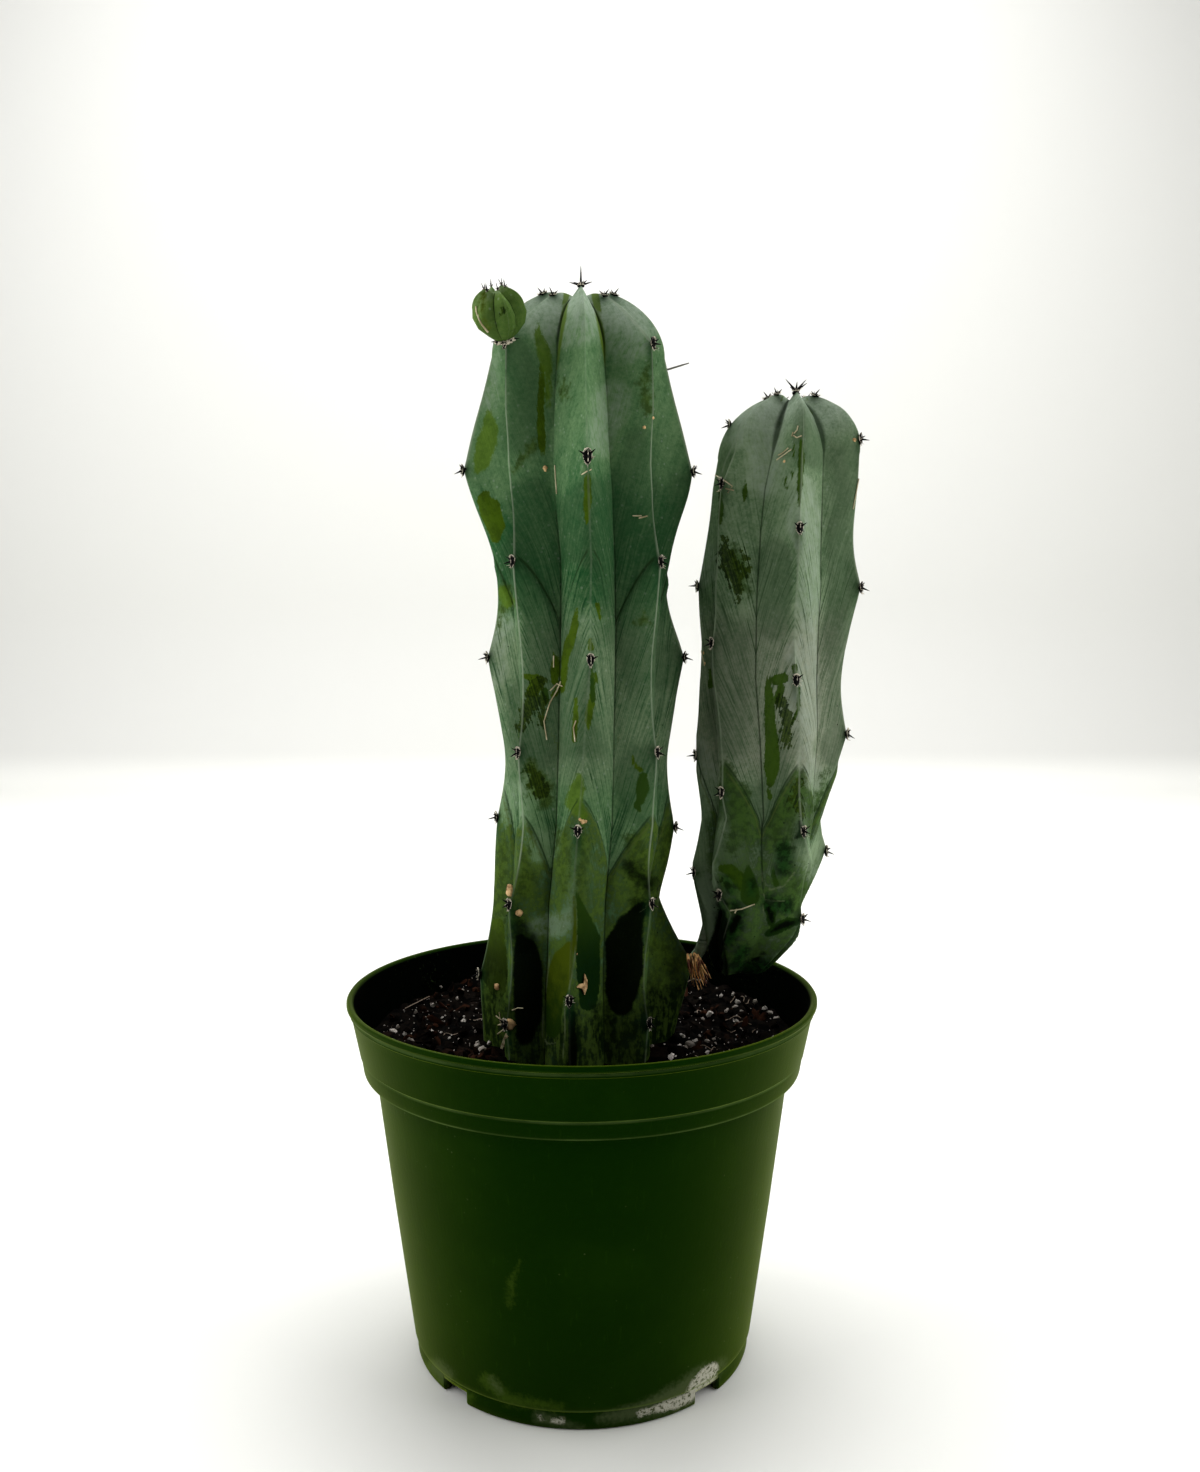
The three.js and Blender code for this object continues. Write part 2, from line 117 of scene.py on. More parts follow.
# Radius and height, up the outside from the middle of the underside and down the inside
POT_PROFILE = [
    (0, 0), (35.6, 0), (36.4, 0.5), (39.6, 4.3), (40.5, CHANNEL_HEIGHT), (55.6, CHANNEL_HEIGHT),
    (56.2, 4.2), (56.2, 0.4), (56.6, 0), (58.2, 0), (59.1, 0.4), (59.4, 1.2), (59.5, 6.2),
    (60.1, 6.6), (60.5, 7.4), (66.9, 55), (72.75, 101.4), (73.1, 102.2), (73.6, 102.5),
    (76.2, BAND_FOOT), (76.75, 102.6), (76.95, 103.2), (77.75, 108.1), (77.75, 108.5),
    (78.15, 108.9), (80.85, 122.3), (81.1, 123.1), (81.55, 123.5), (81.55, 124.3), (81.4, 124.8),
    (82.1, 125.1), (82.5, 125.7), (82.5, 126.5), (82.1, 127.1), (81.5, POT_HEIGHT),
    (80.8, 127.0), (80.0, 126.2), (79.75, 125.2), (75.4, 104.2), (74.9, 103.9), (71.6, 103.8),
    (71.2, 103.2), (65.2, 55), (58.9, 7.2), (58.2, 6.4), (38.7, 6.4), (37.6, 5.4), (34.9, 2.0),
    (34.0, 1.6), (0, 1.6),
]


def along_profile(profile, step):
    """A profile's corners with straight runs between them divided into even steps."""
    places = [profile[0]]
    for start, end in zip(profile[:-1], profile[1:]):
        length = np.hypot(end[0] - start[0], end[1] - start[1])
        count = max(1, int(np.ceil(length / step)))
        span = np.subtract(end, start)
        places += [tuple(np.add(start, span * k / count)) for k in range(1, count + 1)]
    return np.array(places)


def outward(angle):
    """Unit vectors in the level plane, from the front (-Y) round to the right (+X)."""
    turn = np.radians(angle)
    return np.stack([np.sin(turn), -np.cos(turn), np.zeros_like(turn)], axis=-1)


def grid_faces(rows, columns):
    """Quads of a grid whose columns close on themselves, with its first and last rows each one point."""
    across = np.arange(columns)
    beside = (across + 1) % columns
    low = 1 + np.arange(rows - 3)[:, None] * columns
    high = low + columns
    quads = np.stack([low + across, low + beside, high + beside, high + across], axis=-1)
    last_ring = 1 + (rows - 3) * columns
    top = last_ring + columns
    foot_fan = np.stack([np.zeros(columns, int), beside + 1, across + 1], axis=-1)
    top_fan = np.stack([last_ring + across, last_ring + beside, np.full(columns, top)], axis=-1)
    return quads.reshape(-1, 4).tolist() + foot_fan.tolist() + top_fan.tolist()


def grid_points(grid):
    """A grid's points as one list, with its first and last rows each taken as one point."""
    return np.concatenate([grid[:1, 0], grid[1:-1].reshape(-1, *grid.shape[2:]), grid[-1:, 0]])


def new_piece(name, points, faces, material, slot, smooth_angle=40):
    """A mesh object of points in millimetres that rides on the pot's body."""
    mesh = bpy.data.meshes.new(name)
    mesh.from_pydata((np.asarray(points) / 1000).tolist(), [], faces)
    mesh.materials.append(material)
    mesh.shade_smooth()
    mesh.set_sharp_from_angle(angle=np.radians(smooth_angle))
    piece = bpy.data.objects.new(name, mesh)
    bpy.context.scene.collection.objects.link(piece)
    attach(piece, "root")
    return piece


def give_values(piece, name, values):
    """One number for each of a piece's points, for its material to read."""
    field = piece.data.attributes.new(name, "FLOAT", "POINT")
    field.data.foreach_set("value", np.asarray(values, np.float32).ravel())


class Field:
    """A number or colour that varies over a surface. Arithmetic on it adds Math nodes."""

    def __init__(self, tree, socket):
        self.tree = tree
        self.socket = socket

    def node(self, kind, settings=None, sockets=None, output=0):
        """Adds a node: its settings first, then the values or links of its sockets."""
        made = self.tree.nodes.new(kind)
        for key, value in (settings or {}).items():
            setattr(made, key, value)
        for key, value in (sockets or {}).items():
            if isinstance(value, Field):
                self.tree.links.new(value.socket, made.inputs[key])
            elif made.inputs[key].type == "RGBA":
                made.inputs[key].default_value = (*value, 1)
            else:
                made.inputs[key].default_value = value
        return Field(self.tree, made.outputs[output])

    def math(self, operation, first, second):
        """A Math node on two numbers, either of which may be a Field."""
        return self.node("ShaderNodeMath", {"operation": operation}, {0: first, 1: second})

    def __add__(self, other):
        return self.math("ADD", self, other)

    def __sub__(self, other):
        return self.math("SUBTRACT", self, other)

    def __rsub__(self, other):
        return self.math("SUBTRACT", other, self)

    def __mul__(self, other):
        return self.math("MULTIPLY", self, other)

    __radd__ = __add__
    __rmul__ = __mul__

    def rises(self, low, high):
        """0 at low, 1 at high and a smooth climb between; high may be the lower of the two."""
        sockets = {"Value": self, "From Min": low, "From Max": high, "To Min": 0.0, "To Max": 1.0}
        return self.node("ShaderNodeMapRange", {"interpolation_type": "SMOOTHSTEP"}, sockets)

    def between(self, start, full, still, end):
        """1 from full to still, 0 below start and above end, and smooth climbs between them."""
        return self.rises(start, full) * self.rises(end, still)

    def swing(self, size):
        """How far a noise stands from its middle, times a size."""
        return (self - 0.5) * size

    def blend(self, base, over, strength=1):
        """The colour over laid on the colour base, by this share times a strength."""
        share = self if strength == 1 else self * strength
        return self.node("ShaderNodeMix", {"data_type": "RGBA"}, {0: share, 6: base, 7: over}, output=2)

    def stretched(self, scale):
        """A place with its three directions scaled."""
        return self.node("ShaderNodeVectorMath", {"operation": "MULTIPLY"}, {0: self, 1: scale})

    def noise(self, scale, detail=3.0, roughness=0.55):
        """Soft cloudy noise at this place, from 0 to 1."""
        sockets = {"Vector": self, "Scale": scale, "Detail": detail, "Roughness": roughness}
        return self.node("ShaderNodeTexNoise", {}, sockets)

    def spots(self, scale):
        """The distance from the nearest of many scattered points."""
        return self.node("ShaderNodeTexVoronoi", {}, {"Vector": self, "Scale": scale})

    def value_of(self, name):
        """The numbers that give_values laid on the piece."""
        return self.node("ShaderNodeAttribute", {"attribute_name": name}, {}, output=2)


def new_material(name):
    """A material with its shader, and the object's own coordinates in metres as a Field."""
    material = bpy.data.materials.new(name)
    material.use_nodes = True
    tree = material.node_tree
    shader = tree.nodes["Principled BSDF"]
    coordinate = tree.nodes.new("ShaderNodeTexCoord")
    return material, shader, Field(tree, coordinate.outputs["Object"])


def feed(shader, **fields):
    """Links Fields to the shader's sockets, with _ for a space, and sets plain numbers on them."""
    for key, value in fields.items():
        socket = shader.inputs[key.replace("_", " ")]
        if isinstance(value, Field):
            value.tree.links.new(value.socket, socket)
        else:
            socket.default_value = value


def bump(height, strength, distance):
    """The surface's direction, tilted by a Field of heights."""
    sockets = {"Height": height, "Strength": strength, "Distance": distance}
    return height.node("ShaderNodeBump", {}, sockets)


# The crust, film and algae that hard water has left, as chains of (across, down, half-width)
MINERAL_STROKES = [
    [(714, 1367, 4), (708, 1375, 8), (700, 1384, 8), (692, 1392, 5)],
    [(690, 1397, 4), (676, 1403, 5), (660, 1408, 4)], [(655, 1409, 2), (640, 1414, 3)],
    [(552, 1420, 1.5), (562, 1421, 2.5)], [(539, 1417, 1.5), (542, 1419, 1)],
]
FILM_STROKES = [
    [(724, 1362, 6), (706, 1376, 14), (682, 1396, 13), (644, 1410, 8), (600, 1418, 5)],
    [(490, 1379, 0), (500, 1391, 0)], [(538, 1417, 3), (560, 1422, 4), (582, 1429, 3)],
    [(436, 1366, 5), (446, 1376, 6)],
]
ALGAE_STROKES = [
    [(430, 1366, 6), (448, 1384, 6), (470, 1398, 5)], [(486, 1380, 7), (510, 1400, 6), (560, 1408, 4)],
    [(521, 1258, 0), (517, 1270, 1), (511, 1282, 4), (510, 1304, 3)],
]
POT_FRONT = 5
POT_FAR = 20

POT_GREEN = (0.0008, 0.0140, 0.0001)
POT_WORN = (0.007, 0.030, 0.001)
# The colour of the painted highlights along the pot's edges
POT_EDGE_HIGHLIGHT = (0.050, 0.085, 0.022)
MINERAL_PALE = (0.42, 0.41, 0.34)
MINERAL_TAN = (0.060, 0.070, 0.035)
FILM_GREY = (0.060, 0.080, 0.035)
ALGAE_GREEN = (0.045, 0.085, 0.008)
# The pot's inner face: painted shade, nearly black, with specks of dust
INNER_SHADE_BLACK = (0.0003, 0.0008, 0.0002)
INNER_DUST = (0.020, 0.030, 0.012)
# Painted highlights along the pot's edges: the heights in metres where each begins, is full, fades and
# ends, and its strength
HIGHLIGHT_EDGES = [
    (0.1075, 0.1084, 0.1087, 0.1092, 1), (0.1021, 0.1025, 0.1028, 0.1034, 1),
    (0.1236, 0.1244, 0.1248, 0.1253, 1), (0.0064, 0.0069, 0.0072, 0.0077, 0.6),
]

pot_plastic, pot_shader, pot_at = new_material("green_pot_plastic")
cloud = pot_at.noise(28, 4)
fine = pot_at.noise(800, 4, 0.6)
scratches = pot_at.stretched((1.0, 1.0, 0.09)).noise(900, 2)
mineral = (pot_at.value_of("mineral") + fine.swing(11)).rises(2.2, -0.8)
film = (pot_at.value_of("film") + cloud.swing(16) + fine.swing(12)).rises(5, -7)
algae = (pot_at.value_of("algae") + fine.swing(14)).rises(4, -6)
dust = pot_at.spots(260).rises(0.10, 0.05) * cloud.rises(0.52, 0.62)
worn = scratches.rises(0.62, 0.78) * 0.35 + cloud.rises(0.45, 0.75) * 0.30
pot_colour = worn.blend(POT_GREEN, POT_WORN)
pot_colour = algae.blend(pot_colour, ALGAE_GREEN, 0.5)
pot_colour = film.blend(pot_colour, FILM_GREY, 0.75)
pot_colour = dust.blend(pot_colour, FILM_GREY, 0.5)
pot_colour = mineral.blend(pot_colour, fine.rises(0.36, 0.52).blend(MINERAL_TAN, MINERAL_PALE))
level = pot_at.node("ShaderNodeSeparateXYZ", {}, {0: pot_at}, output=2)
# Painted highlights along the edges of the band, the lip and the foot, mottled by the cloud
highlight_lines = 0
for start, full, still, end, strength in HIGHLIGHT_EDGES:
    highlight_lines = highlight_lines + level.between(start, full, still, end) * strength
edge_highlight = highlight_lines * (0.35 + cloud.rises(0.4, 0.6) * 0.5)
pot_colour = edge_highlight.blend(pot_colour, POT_EDGE_HIGHLIGHT)
# The inner face has its own shader without sheen: painted shade, nearly black, flecked with dust
inside = pot_at.value_of("inside")
inner_shade_and_dust = (fine + cloud * 0.4).rises(0.82, 0.98).blend(INNER_SHADE_BLACK, INNER_DUST)
pot_roughness = 0.40 + cloud * 0.10 + film * 0.25 + mineral * 0.3
pot_relief = scratches * 0.25 + fine * 0.35 + mineral * 1.6
feed(pot_shader, Base_Color=pot_colour, Roughness=pot_roughness, Normal=bump(pot_relief, 0.25, 0.0004))

pot_shader.inputs["IOR"].default_value = 1.05
pot_shader.inputs["Sheen Weight"].default_value = 0.27
pot_shader.inputs["Sheen Roughness"].default_value = 0.40
pot_shader.inputs["Sheen Tint"].default_value = (0.66, 0.88, 0.06, 1)
pot_shader.inputs["Specular Tint"].default_value = (0.40, 1.0, 0.10, 1)
inner_sockets = {"Base Color": inner_shade_and_dust, "Roughness": 0.7, "IOR": 1.03}
inner_shader = inside.node("ShaderNodeBsdfPrincipled", {}, inner_sockets)
outer_shader = Field(inside.tree, pot_shader.outputs[0])
both = inside.node("ShaderNodeMixShader", {}, {0: inside, 1: outer_shader, 2: inner_shader})
inside.tree.links.new(both.socket, inside.tree.nodes["Material Output"].inputs["Surface"])

profile = along_profile(POT_PROFILE, PROFILE_STEP)
angles = np.arange(POT_COLUMNS) * 360 / POT_COLUMNS
grid = outward(angles)[None] * profile[:, :1, None]
grid[..., 2] = profile[:, 1:]
pot_points = grid_points(grid)
pot_wall = new_piece("pot_wall", pot_points, grid_faces(*grid.shape[:2]), pot_plastic, "pot_plastic", 30)


def block(width, inner, outer, bottom, top, angle):
    """The eight corners and six faces of a block that lies outward at an angle."""
    out = outward(np.float64(angle))
    side = np.array([-out[1], out[0], 0])
    half = width / 2
    corners = [
        out * reach + side * edge + np.array([0, 0, level])
        for level in (bottom, top)
        for reach, edge in ((inner, -half), (outer, -half), (outer, half), (inner, half))
    ]
    faces = [(3, 2, 1, 0), (4, 5, 6, 7), (0, 1, 5, 4), (1, 2, 6, 5), (2, 3, 7, 6), (3, 0, 4, 7)]
    return np.array(corners), faces


def joined(parts):
    """Many small shapes as one list of points and one of faces."""
    points = np.concatenate([part[0] for part in parts])
    offsets = np.cumsum([0] + [len(part[0]) for part in parts[:-1]])
    faces = []
    for start, (_, corners) in zip(offsets.tolist(), parts):
        faces += [tuple(corner + start for corner in face) for face in corners]
    return points, faces


cuts = []
for angle in NOTCH_ANGLES:
    cuts.append(block(NOTCH_WIDTH, FOOT_RADIUS - 3 * WALL, RIM_RADIUS, -1, CHANNEL_HEIGHT - 0.05, angle))
    cuts.append(block(DRAIN_WIDTH, DRAIN_INNER, FOOT_RADIUS - 3.4 * WALL, 1, CHANNEL_HEIGHT + 4, angle))
cutter = new_piece("cutter", *joined(cuts), pot_plastic, "pot_plastic")
cut = pot_wall.modifiers.new("cut", "BOOLEAN")
cut.operation = "DIFFERENCE"
cut.solver = "EXACT"
cut.object = cutter
finished = pot_wall.evaluated_get(bpy.context.evaluated_depsgraph_get())
notched = bpy.data.meshes.new_from_object(finished)
pot_wall.modifiers.clear()
pot_wall.data = notched
bpy.data.objects.remove(cutter)
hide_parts("pot")

place = np.zeros(len(notched.vertices) * 3, np.float32)
notched.vertices.foreach_get("co", place)
place = place.reshape(-1, 3).astype(float) * 1000
across, down = photo_place(place)
front = place[:, 1] < POT_FRONT
for name, strokes in (("mineral", MINERAL_STROKES), ("film", FILM_STROKES), ("algae", ALGAE_STROKES)):
    least = np.min([stroke_distance(across, down, stroke) for stroke in strokes], axis=0)
    give_values(pot_wall, name, np.where(front, np.clip(least, -POT_FAR, POT_FAR), POT_FAR))

# Points well within the outer wall at their height belong to the pot's inner face
INNER_MARGIN = 0.2
OUTER_HEIGHTS = [0, 7, 102.3, 102.4, 124, 127]
OUTER_RADII = [58, 59.6, 72.0, 75.8, 80.2, 80.6]
radius = np.hypot(place[:, 0], place[:, 1])
outer_radius = np.interp(place[:, 2], OUTER_HEIGHTS, OUTER_RADII)
give_values(pot_wall, "inside", (radius < outer_radius - INNER_MARGIN).astype(float))


# The soil. Damp black potting mix fills the pot to below the rim: crumbs of peat and bark with
# white perlite grains pressed in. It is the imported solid's own form with a crumbled surface.
SOIL_TOP = 109.5
SOIL_SLUMP = 1.4
SOIL_TILT = 0.05
GAP = 0.35
SOIL_COLUMNS = 288
SURFACE_RINGS = 84
BAND_RADIUS = 76.8
LIP_DROP = 1.8
LIP_INSET = 1.1
EDGE_CLEAR = 0.4
CRUMB_COUNT = 1500
CRUMB_REACH = 76
random = np.random.default_rng(17)


def soil_level(x, y):
    """The soil's height: its fill line, a tilt towards the back, and broad and fine waves."""
    broad = np.sin(x * 0.07 + 0.6) * np.cos(y * 0.06 - 0.4)
    narrow = np.sin(x * 0.31 + y * 0.17) * np.cos(y * 0.37 - x * 0.11)
    return SOIL_TOP + SOIL_TILT * y + SOIL_SLUMP * (0.6 * broad + 0.4 * narrow)


def soil_edge(level):
    """The soil's radius against the inside of the pot's band."""
    share = (level - BAND_FOOT - WALL) / (POT_HEIGHT - LIP_DROP - BAND_FOOT - WALL)
    return BAND_RADIUS + (RIM_RADIUS - LIP_INSET - BAND_RADIUS) * share - WALL - GAP - EDGE_CLEAR


crumb_reach = CRUMB_REACH * np.sqrt(random.uniform(0.2, 1, CRUMB_COUNT))
crumb_at = outward(random.uniform(0, 360, CRUMB_COUNT)) * crumb_reach[:, None]
crumb_radius = random.uniform(0.8, 3.2, CRUMB_COUNT) ** 1.1
crumb_flat = random.uniform(0.35, 0.8, CRUMB_COUNT)


def crumble(x, y):
    """Crumbs in the soil: the highest of many flattened half balls at each place of a row."""
    inside = crumb_radius**2 - (x[:, None] - crumb_at[:, 0]) ** 2 - (y[:, None] - crumb_at[:, 1]) ** 2
    return (0.9 * crumb_flat * np.sqrt(np.maximum(inside, 0))).max(axis=1)


inset = WALL + GAP
buried = np.array([
    (0, inset), (36 - inset, inset), (40 - inset, CHANNEL_HEIGHT + inset),
    (60.3 - inset, CHANNEL_HEIGHT + inset), (72.9 - inset, BAND_FOOT + inset),
    (BAND_RADIUS - inset, BAND_FOOT + inset),
])
angles = np.arange(SOIL_COLUMNS) * 360 / SOIL_COLUMNS
below = outward(angles)[None] * buried[:, :1, None]
below[..., 2] = buried[:, 1:]
shares = np.linspace(1, 0, SURFACE_RINGS)[:, None]
flat = outward(angles)[None] * (soil_edge(SOIL_TOP) * shares)[..., None]
level = soil_level(flat[..., 0], flat[..., 1])
surface = outward(angles)[None] * (soil_edge(level) * shares)[..., None]
surface[..., 2] = level - 0.6 + np.array([crumble(ring[:, 0], ring[:, 1]) for ring in surface])
surface[-1, :, 2] = surface[-1, 0, 2]
grid = np.concatenate([below, surface])

soil_mix, soil_shader, soil_at = new_material("damp_potting_mix")
grain = soil_at.noise(240, 5, 0.7)
patches = soil_at.noise(26, 2)
cell = soil_at.node("ShaderNodeTexVoronoi", {}, {"Vector": soil_at, "Scale": 420.0}, output=1)
tone = cell.node("ShaderNodeSeparateColor", {}, {"Color": cell})
soil_colour = tone.rises(0.2, 1.0).blend((0.0005, 0.0004, 0.0003), (0.0042, 0.0030, 0.0022))
reddish = patches.rises(0.52, 0.72) * tone.rises(0.35, 0.9)
soil_colour = reddish.blend(soil_colour, (0.020, 0.0085, 0.005))
soil_colour = grain.rises(0.70, 0.78).blend(soil_colour, (0.12, 0.09, 0.065), 0.35)
feed(soil_shader, Base_Color=soil_colour, Roughness=0.62 + grain * 0.3, Normal=bump(grain, 0.6, 0.0006))
soil_shader.inputs["IOR"].default_value = 1.05

soil_faces = grid_faces(*grid.shape[:2])
soil_bed = new_piece("soil_bed", grid_points(grid), soil_faces, soil_mix, "potting_soil", 60)
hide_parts("soil")


# Grains, chips and root hairs in the soil. Perlite is white and froth-like, bark chips are brown
# slivers, and a few pale root hairs curl over them. All of them lie half sunk.
PERLITE_SEEN = [
    (422, 1010, 7), (433, 1008, 6), (393, 1032, 6), (405, 1037, 6), (411, 1043, 5), (440, 987, 4),
    (449, 1028, 3), (482, 1050, 8), (476, 977, 5), (470, 971, 3), (471, 1047, 5), (477, 1043, 4),
    (747, 987, 5), (721, 998, 4), (738, 1005, 6), (755, 1003, 5), (765, 1010, 6), (777, 1019, 6),
    (759, 1016, 4), (737, 1021, 4), (696, 1012, 3), (711, 1014, 4), (707, 1045, 5), (714, 1040, 4),
    (757, 1035, 3), (682, 1040, 7), (690, 1046, 8), (684, 1049, 7), (679, 1047, 5), (728, 1012, 4),
    (735, 1009, 5), (742, 1014, 4), (770, 1015, 5), (700, 1000, 3), (457, 1000, 3), (463, 992, 3),
    (398, 1028, 4), (416, 1014, 5), (441, 1035, 3), (489, 1043, 4), (652, 1046, 4), (664, 1045, 3),
]
PIXELS_PER_MM = 2.75
PERLITE_MORE = 60
LOOSE_REACH = 74
SPECK_COUNT = 620
CHIP_COUNT = 420
STEM_CLEAR = 37

phi = (1 + 5**0.5) / 2
BALL_POINTS = np.array([
    (-1, phi, 0), (1, phi, 0), (-1, -phi, 0), (1, -phi, 0), (0, -1, phi), (0, 1, phi),
    (0, -1, -phi), (0, 1, -phi), (phi, 0, -1), (phi, 0, 1), (-phi, 0, -1), (-phi, 0, 1),
]) / np.hypot(1, phi)
BALL_FACES = [
    (0, 11, 5), (0, 5, 1), (0, 1, 7), (0, 7, 10), (0, 10, 11), (1, 5, 9), (5, 11, 4), (11, 10, 2),
    (10, 7, 6), (7, 1, 8), (3, 9, 4), (3, 4, 2), (3, 2, 6), (3, 6, 8), (3, 8, 9), (4, 9, 5),
    (2, 4, 11), (6, 2, 10), (8, 6, 7), (9, 8, 1),
]


def split_ball():
    """A twenty-sided ball with each face cut in four."""
    points = [tuple(point) for point in BALL_POINTS]
    found = {}

    def middle(a, b):
        key = (min(a, b), max(a, b))
        if key not in found:
            half = np.add(points[a], points[b])
            points.append(tuple(half / np.linalg.norm(half)))
            found[key] = len(points) - 1
        return found[key]

    faces = []
    for a, b, c in BALL_FACES:
        ab, bc, ca = middle(a, b), middle(b, c), middle(c, a)
        faces += [(a, ab, ca), (b, bc, ab), (c, ca, bc), (ab, bc, ca)]
    return np.array(points), faces


FINE_BALL = split_ball()


def turned(points):
    """The points turned by a random rotation."""
    first, second = random.normal(size=(2, 3))
    first /= np.linalg.norm(first)
    second = np.cross(first, second)
    second /= np.linalg.norm(second)
    return points @ np.array([first, second, np.cross(first, second)])


def lump(at, size, shape, rough, ball=FINE_BALL):
    """A ball pressed to a shape, dented at random by the rough share, turned and set in place."""
    points = ball[0] * (1 + rough * random.uniform(-1, 1, (len(ball[0]), 1)))
    return turned(points * shape) * size + at, ball[1]


def loose_spot():
    """A random place on the soil, clear of the stem and the wall."""
    reach = np.sqrt(random.uniform(STEM_CLEAR**2, LOOSE_REACH**2))
    at = outward(random.uniform(0, 360)) * reach
    at[2] = soil_level(at[0], at[1]) + crumble(at[:1], at[1:2])[0] - 0.4
    return at


def seen_spot(across, down):
    """The place on the soil that a photo pixel shows."""
    at = on_level(across, down, SOIL_TOP + 1)
    at = on_level(across, down, soil_level(at[0], at[1]))
    at[2] += crumble(at[:1], at[1:2])[0] * 0.6
    return at


grains = []
for across, down, wide in PERLITE_SEEN:
    size = wide / PIXELS_PER_MM / 2
    grains.append(lump(seen_spot(across, down), size, (1.25, 0.9, 0.8), 0.32))
for _ in range(PERLITE_MORE):
    grains.append(lump(loose_spot(), 0.4 + 1.1 * random.uniform() ** 2, (1.2, 0.9, 0.75), 0.32))
SMALL_BALL = (BALL_POINTS, BALL_FACES)
for _ in range(SPECK_COUNT):
    grains.append(lump(loose_spot(), random.uniform(0.15, 0.38), (1.2, 0.9, 0.8), 0.2, SMALL_BALL))

perlite_white, perlite_shader, perlite_at = new_material("white_perlite")
pits = perlite_at.spots(1500)
shade = perlite_at.noise(160, 2)
perlite_colour = shade.rises(0.35, 0.65).blend((0.20, 0.17, 0.14), (0.62, 0.57, 0.52))
perlite_colour = pits.rises(0.30, 0.10).blend(perlite_colour, (0.16, 0.12, 0.09))
feed(perlite_shader, Base_Color=perlite_colour, Roughness=0.85, Normal=bump(pits, 0.8, 0.0003))
new_piece("perlite_grains", *joined(grains), perlite_white, "potting_soil", 50)

chips = []
for _ in range(CHIP_COUNT):
    size = random.uniform(0.7, 2.6)
    shape = (1.9, 0.75, 0.35) if random.uniform() < 0.6 else (1.0, 0.9, 0.6)
    chips.append(lump(loose_spot(), size, shape, 0.22, SMALL_BALL))

bark_brown, bark_shader, bark_at = new_material("brown_bark")
strip = bark_at.stretched((1, 1, 4)).noise(500, 3)
pick = bark_at.noise(95, 1)
bark_colour = strip.rises(0.35, 0.7).blend((0.0008, 0.0006, 0.0005), (0.0050, 0.0032, 0.0022))
bark_colour = pick.rises(0.56, 0.64).blend(bark_colour, (0.028, 0.011, 0.006))
feed(bark_shader, Base_Color=bark_colour, Roughness=0.8, Normal=bump(strip, 0.6, 0.0004))
bark_shader.inputs["IOR"].default_value = 1.05
new_piece("bark_chips", *joined(chips), bark_brown, "potting_soil", 30)


def tube(path, radii, sides=6):
    """A closed tube along a path: rings of points square to it, each end drawn to one point."""
    path = np.asarray(path, float)
    radii = np.asarray(radii, float)
    along = np.gradient(path, axis=0)
    along /= np.linalg.norm(along, axis=1, keepdims=True)
    guide = (0.31, 0.17, 0.93) if abs(along[:, 2]).mean() < 0.8 else (0.9, 0.3, 0.1)
    side = np.cross(along, guide)
    side /= np.linalg.norm(side, axis=1, keepdims=True)
    other = np.cross(side, along)
    turn = np.arange(sides) * 2 * np.pi / sides
    turn = turn[None, :, None]
    ring = side[:, None] * np.cos(turn) + other[:, None] * np.sin(turn)
    rings = path[:, None] + ring * radii[:, None, None]
    ends = [np.repeat(end[None, None], sides, axis=1) for end in (path[0], path[-1])]
    grid = np.concatenate([ends[0], rings, ends[1]])
    return grid_points(grid), [face[::-1] for face in grid_faces(*grid.shape[:2])]


HAIRS_SEEN = [
    [(735, 1028), (742, 1024), (751, 1029)], [(724, 1032), (731, 1036), (741, 1033)],
    [(384, 1008), (389, 1000), (391, 990)],
]
HAIR_COUNT = 60
HAIR_JOINTS = 7
HAIR_STEP = 1.1
HAIR_REACH = 72
root_hairs = []
for seen in HAIRS_SEEN:
    path = np.array([seen_spot(*spot) + (0, 0, 0.8) for spot in seen])
    path[:, :2] *= np.minimum(1, HAIR_REACH / np.hypot(path[:, 0], path[:, 1]))[:, None]
    root_hairs.append(tube(path, [0.16] * len(path), 5))
for _ in range(HAIR_COUNT):
    start = loose_spot()
    heading = random.uniform(0, 2 * np.pi)
    bend = heading + np.cumsum(random.normal(0, 0.4, HAIR_JOINTS))
    steps = np.stack([np.cos(bend), np.sin(bend), np.zeros(HAIR_JOINTS)], axis=1) * HAIR_STEP
    path = start + np.cumsum(steps, axis=0)
    within = np.hypot(path[:, 0], path[:, 1])
    if within.max() > LOOSE_REACH or within.min() < STEM_CLEAR:
        continue
    path[:, 2] = soil_level(path[:, 0], path[:, 1]) + 0.9 + 0.5 * np.sin(np.arange(HAIR_JOINTS))
    root_hairs.append(tube(path, [0.13] * HAIR_JOINTS, 4))

hair_pale, hair_shader, hair_at = new_material("pale_root_hair")
hair_tone = hair_at.noise(140, 1)
feed(hair_shader, Base_Color=hair_tone.blend((0.16, 0.10, 0.06), (0.34, 0.27, 0.20)), Roughness=0.7)
new_piece("root_hairs", *joined(root_hairs), hair_pale, "potting_soil", 60)


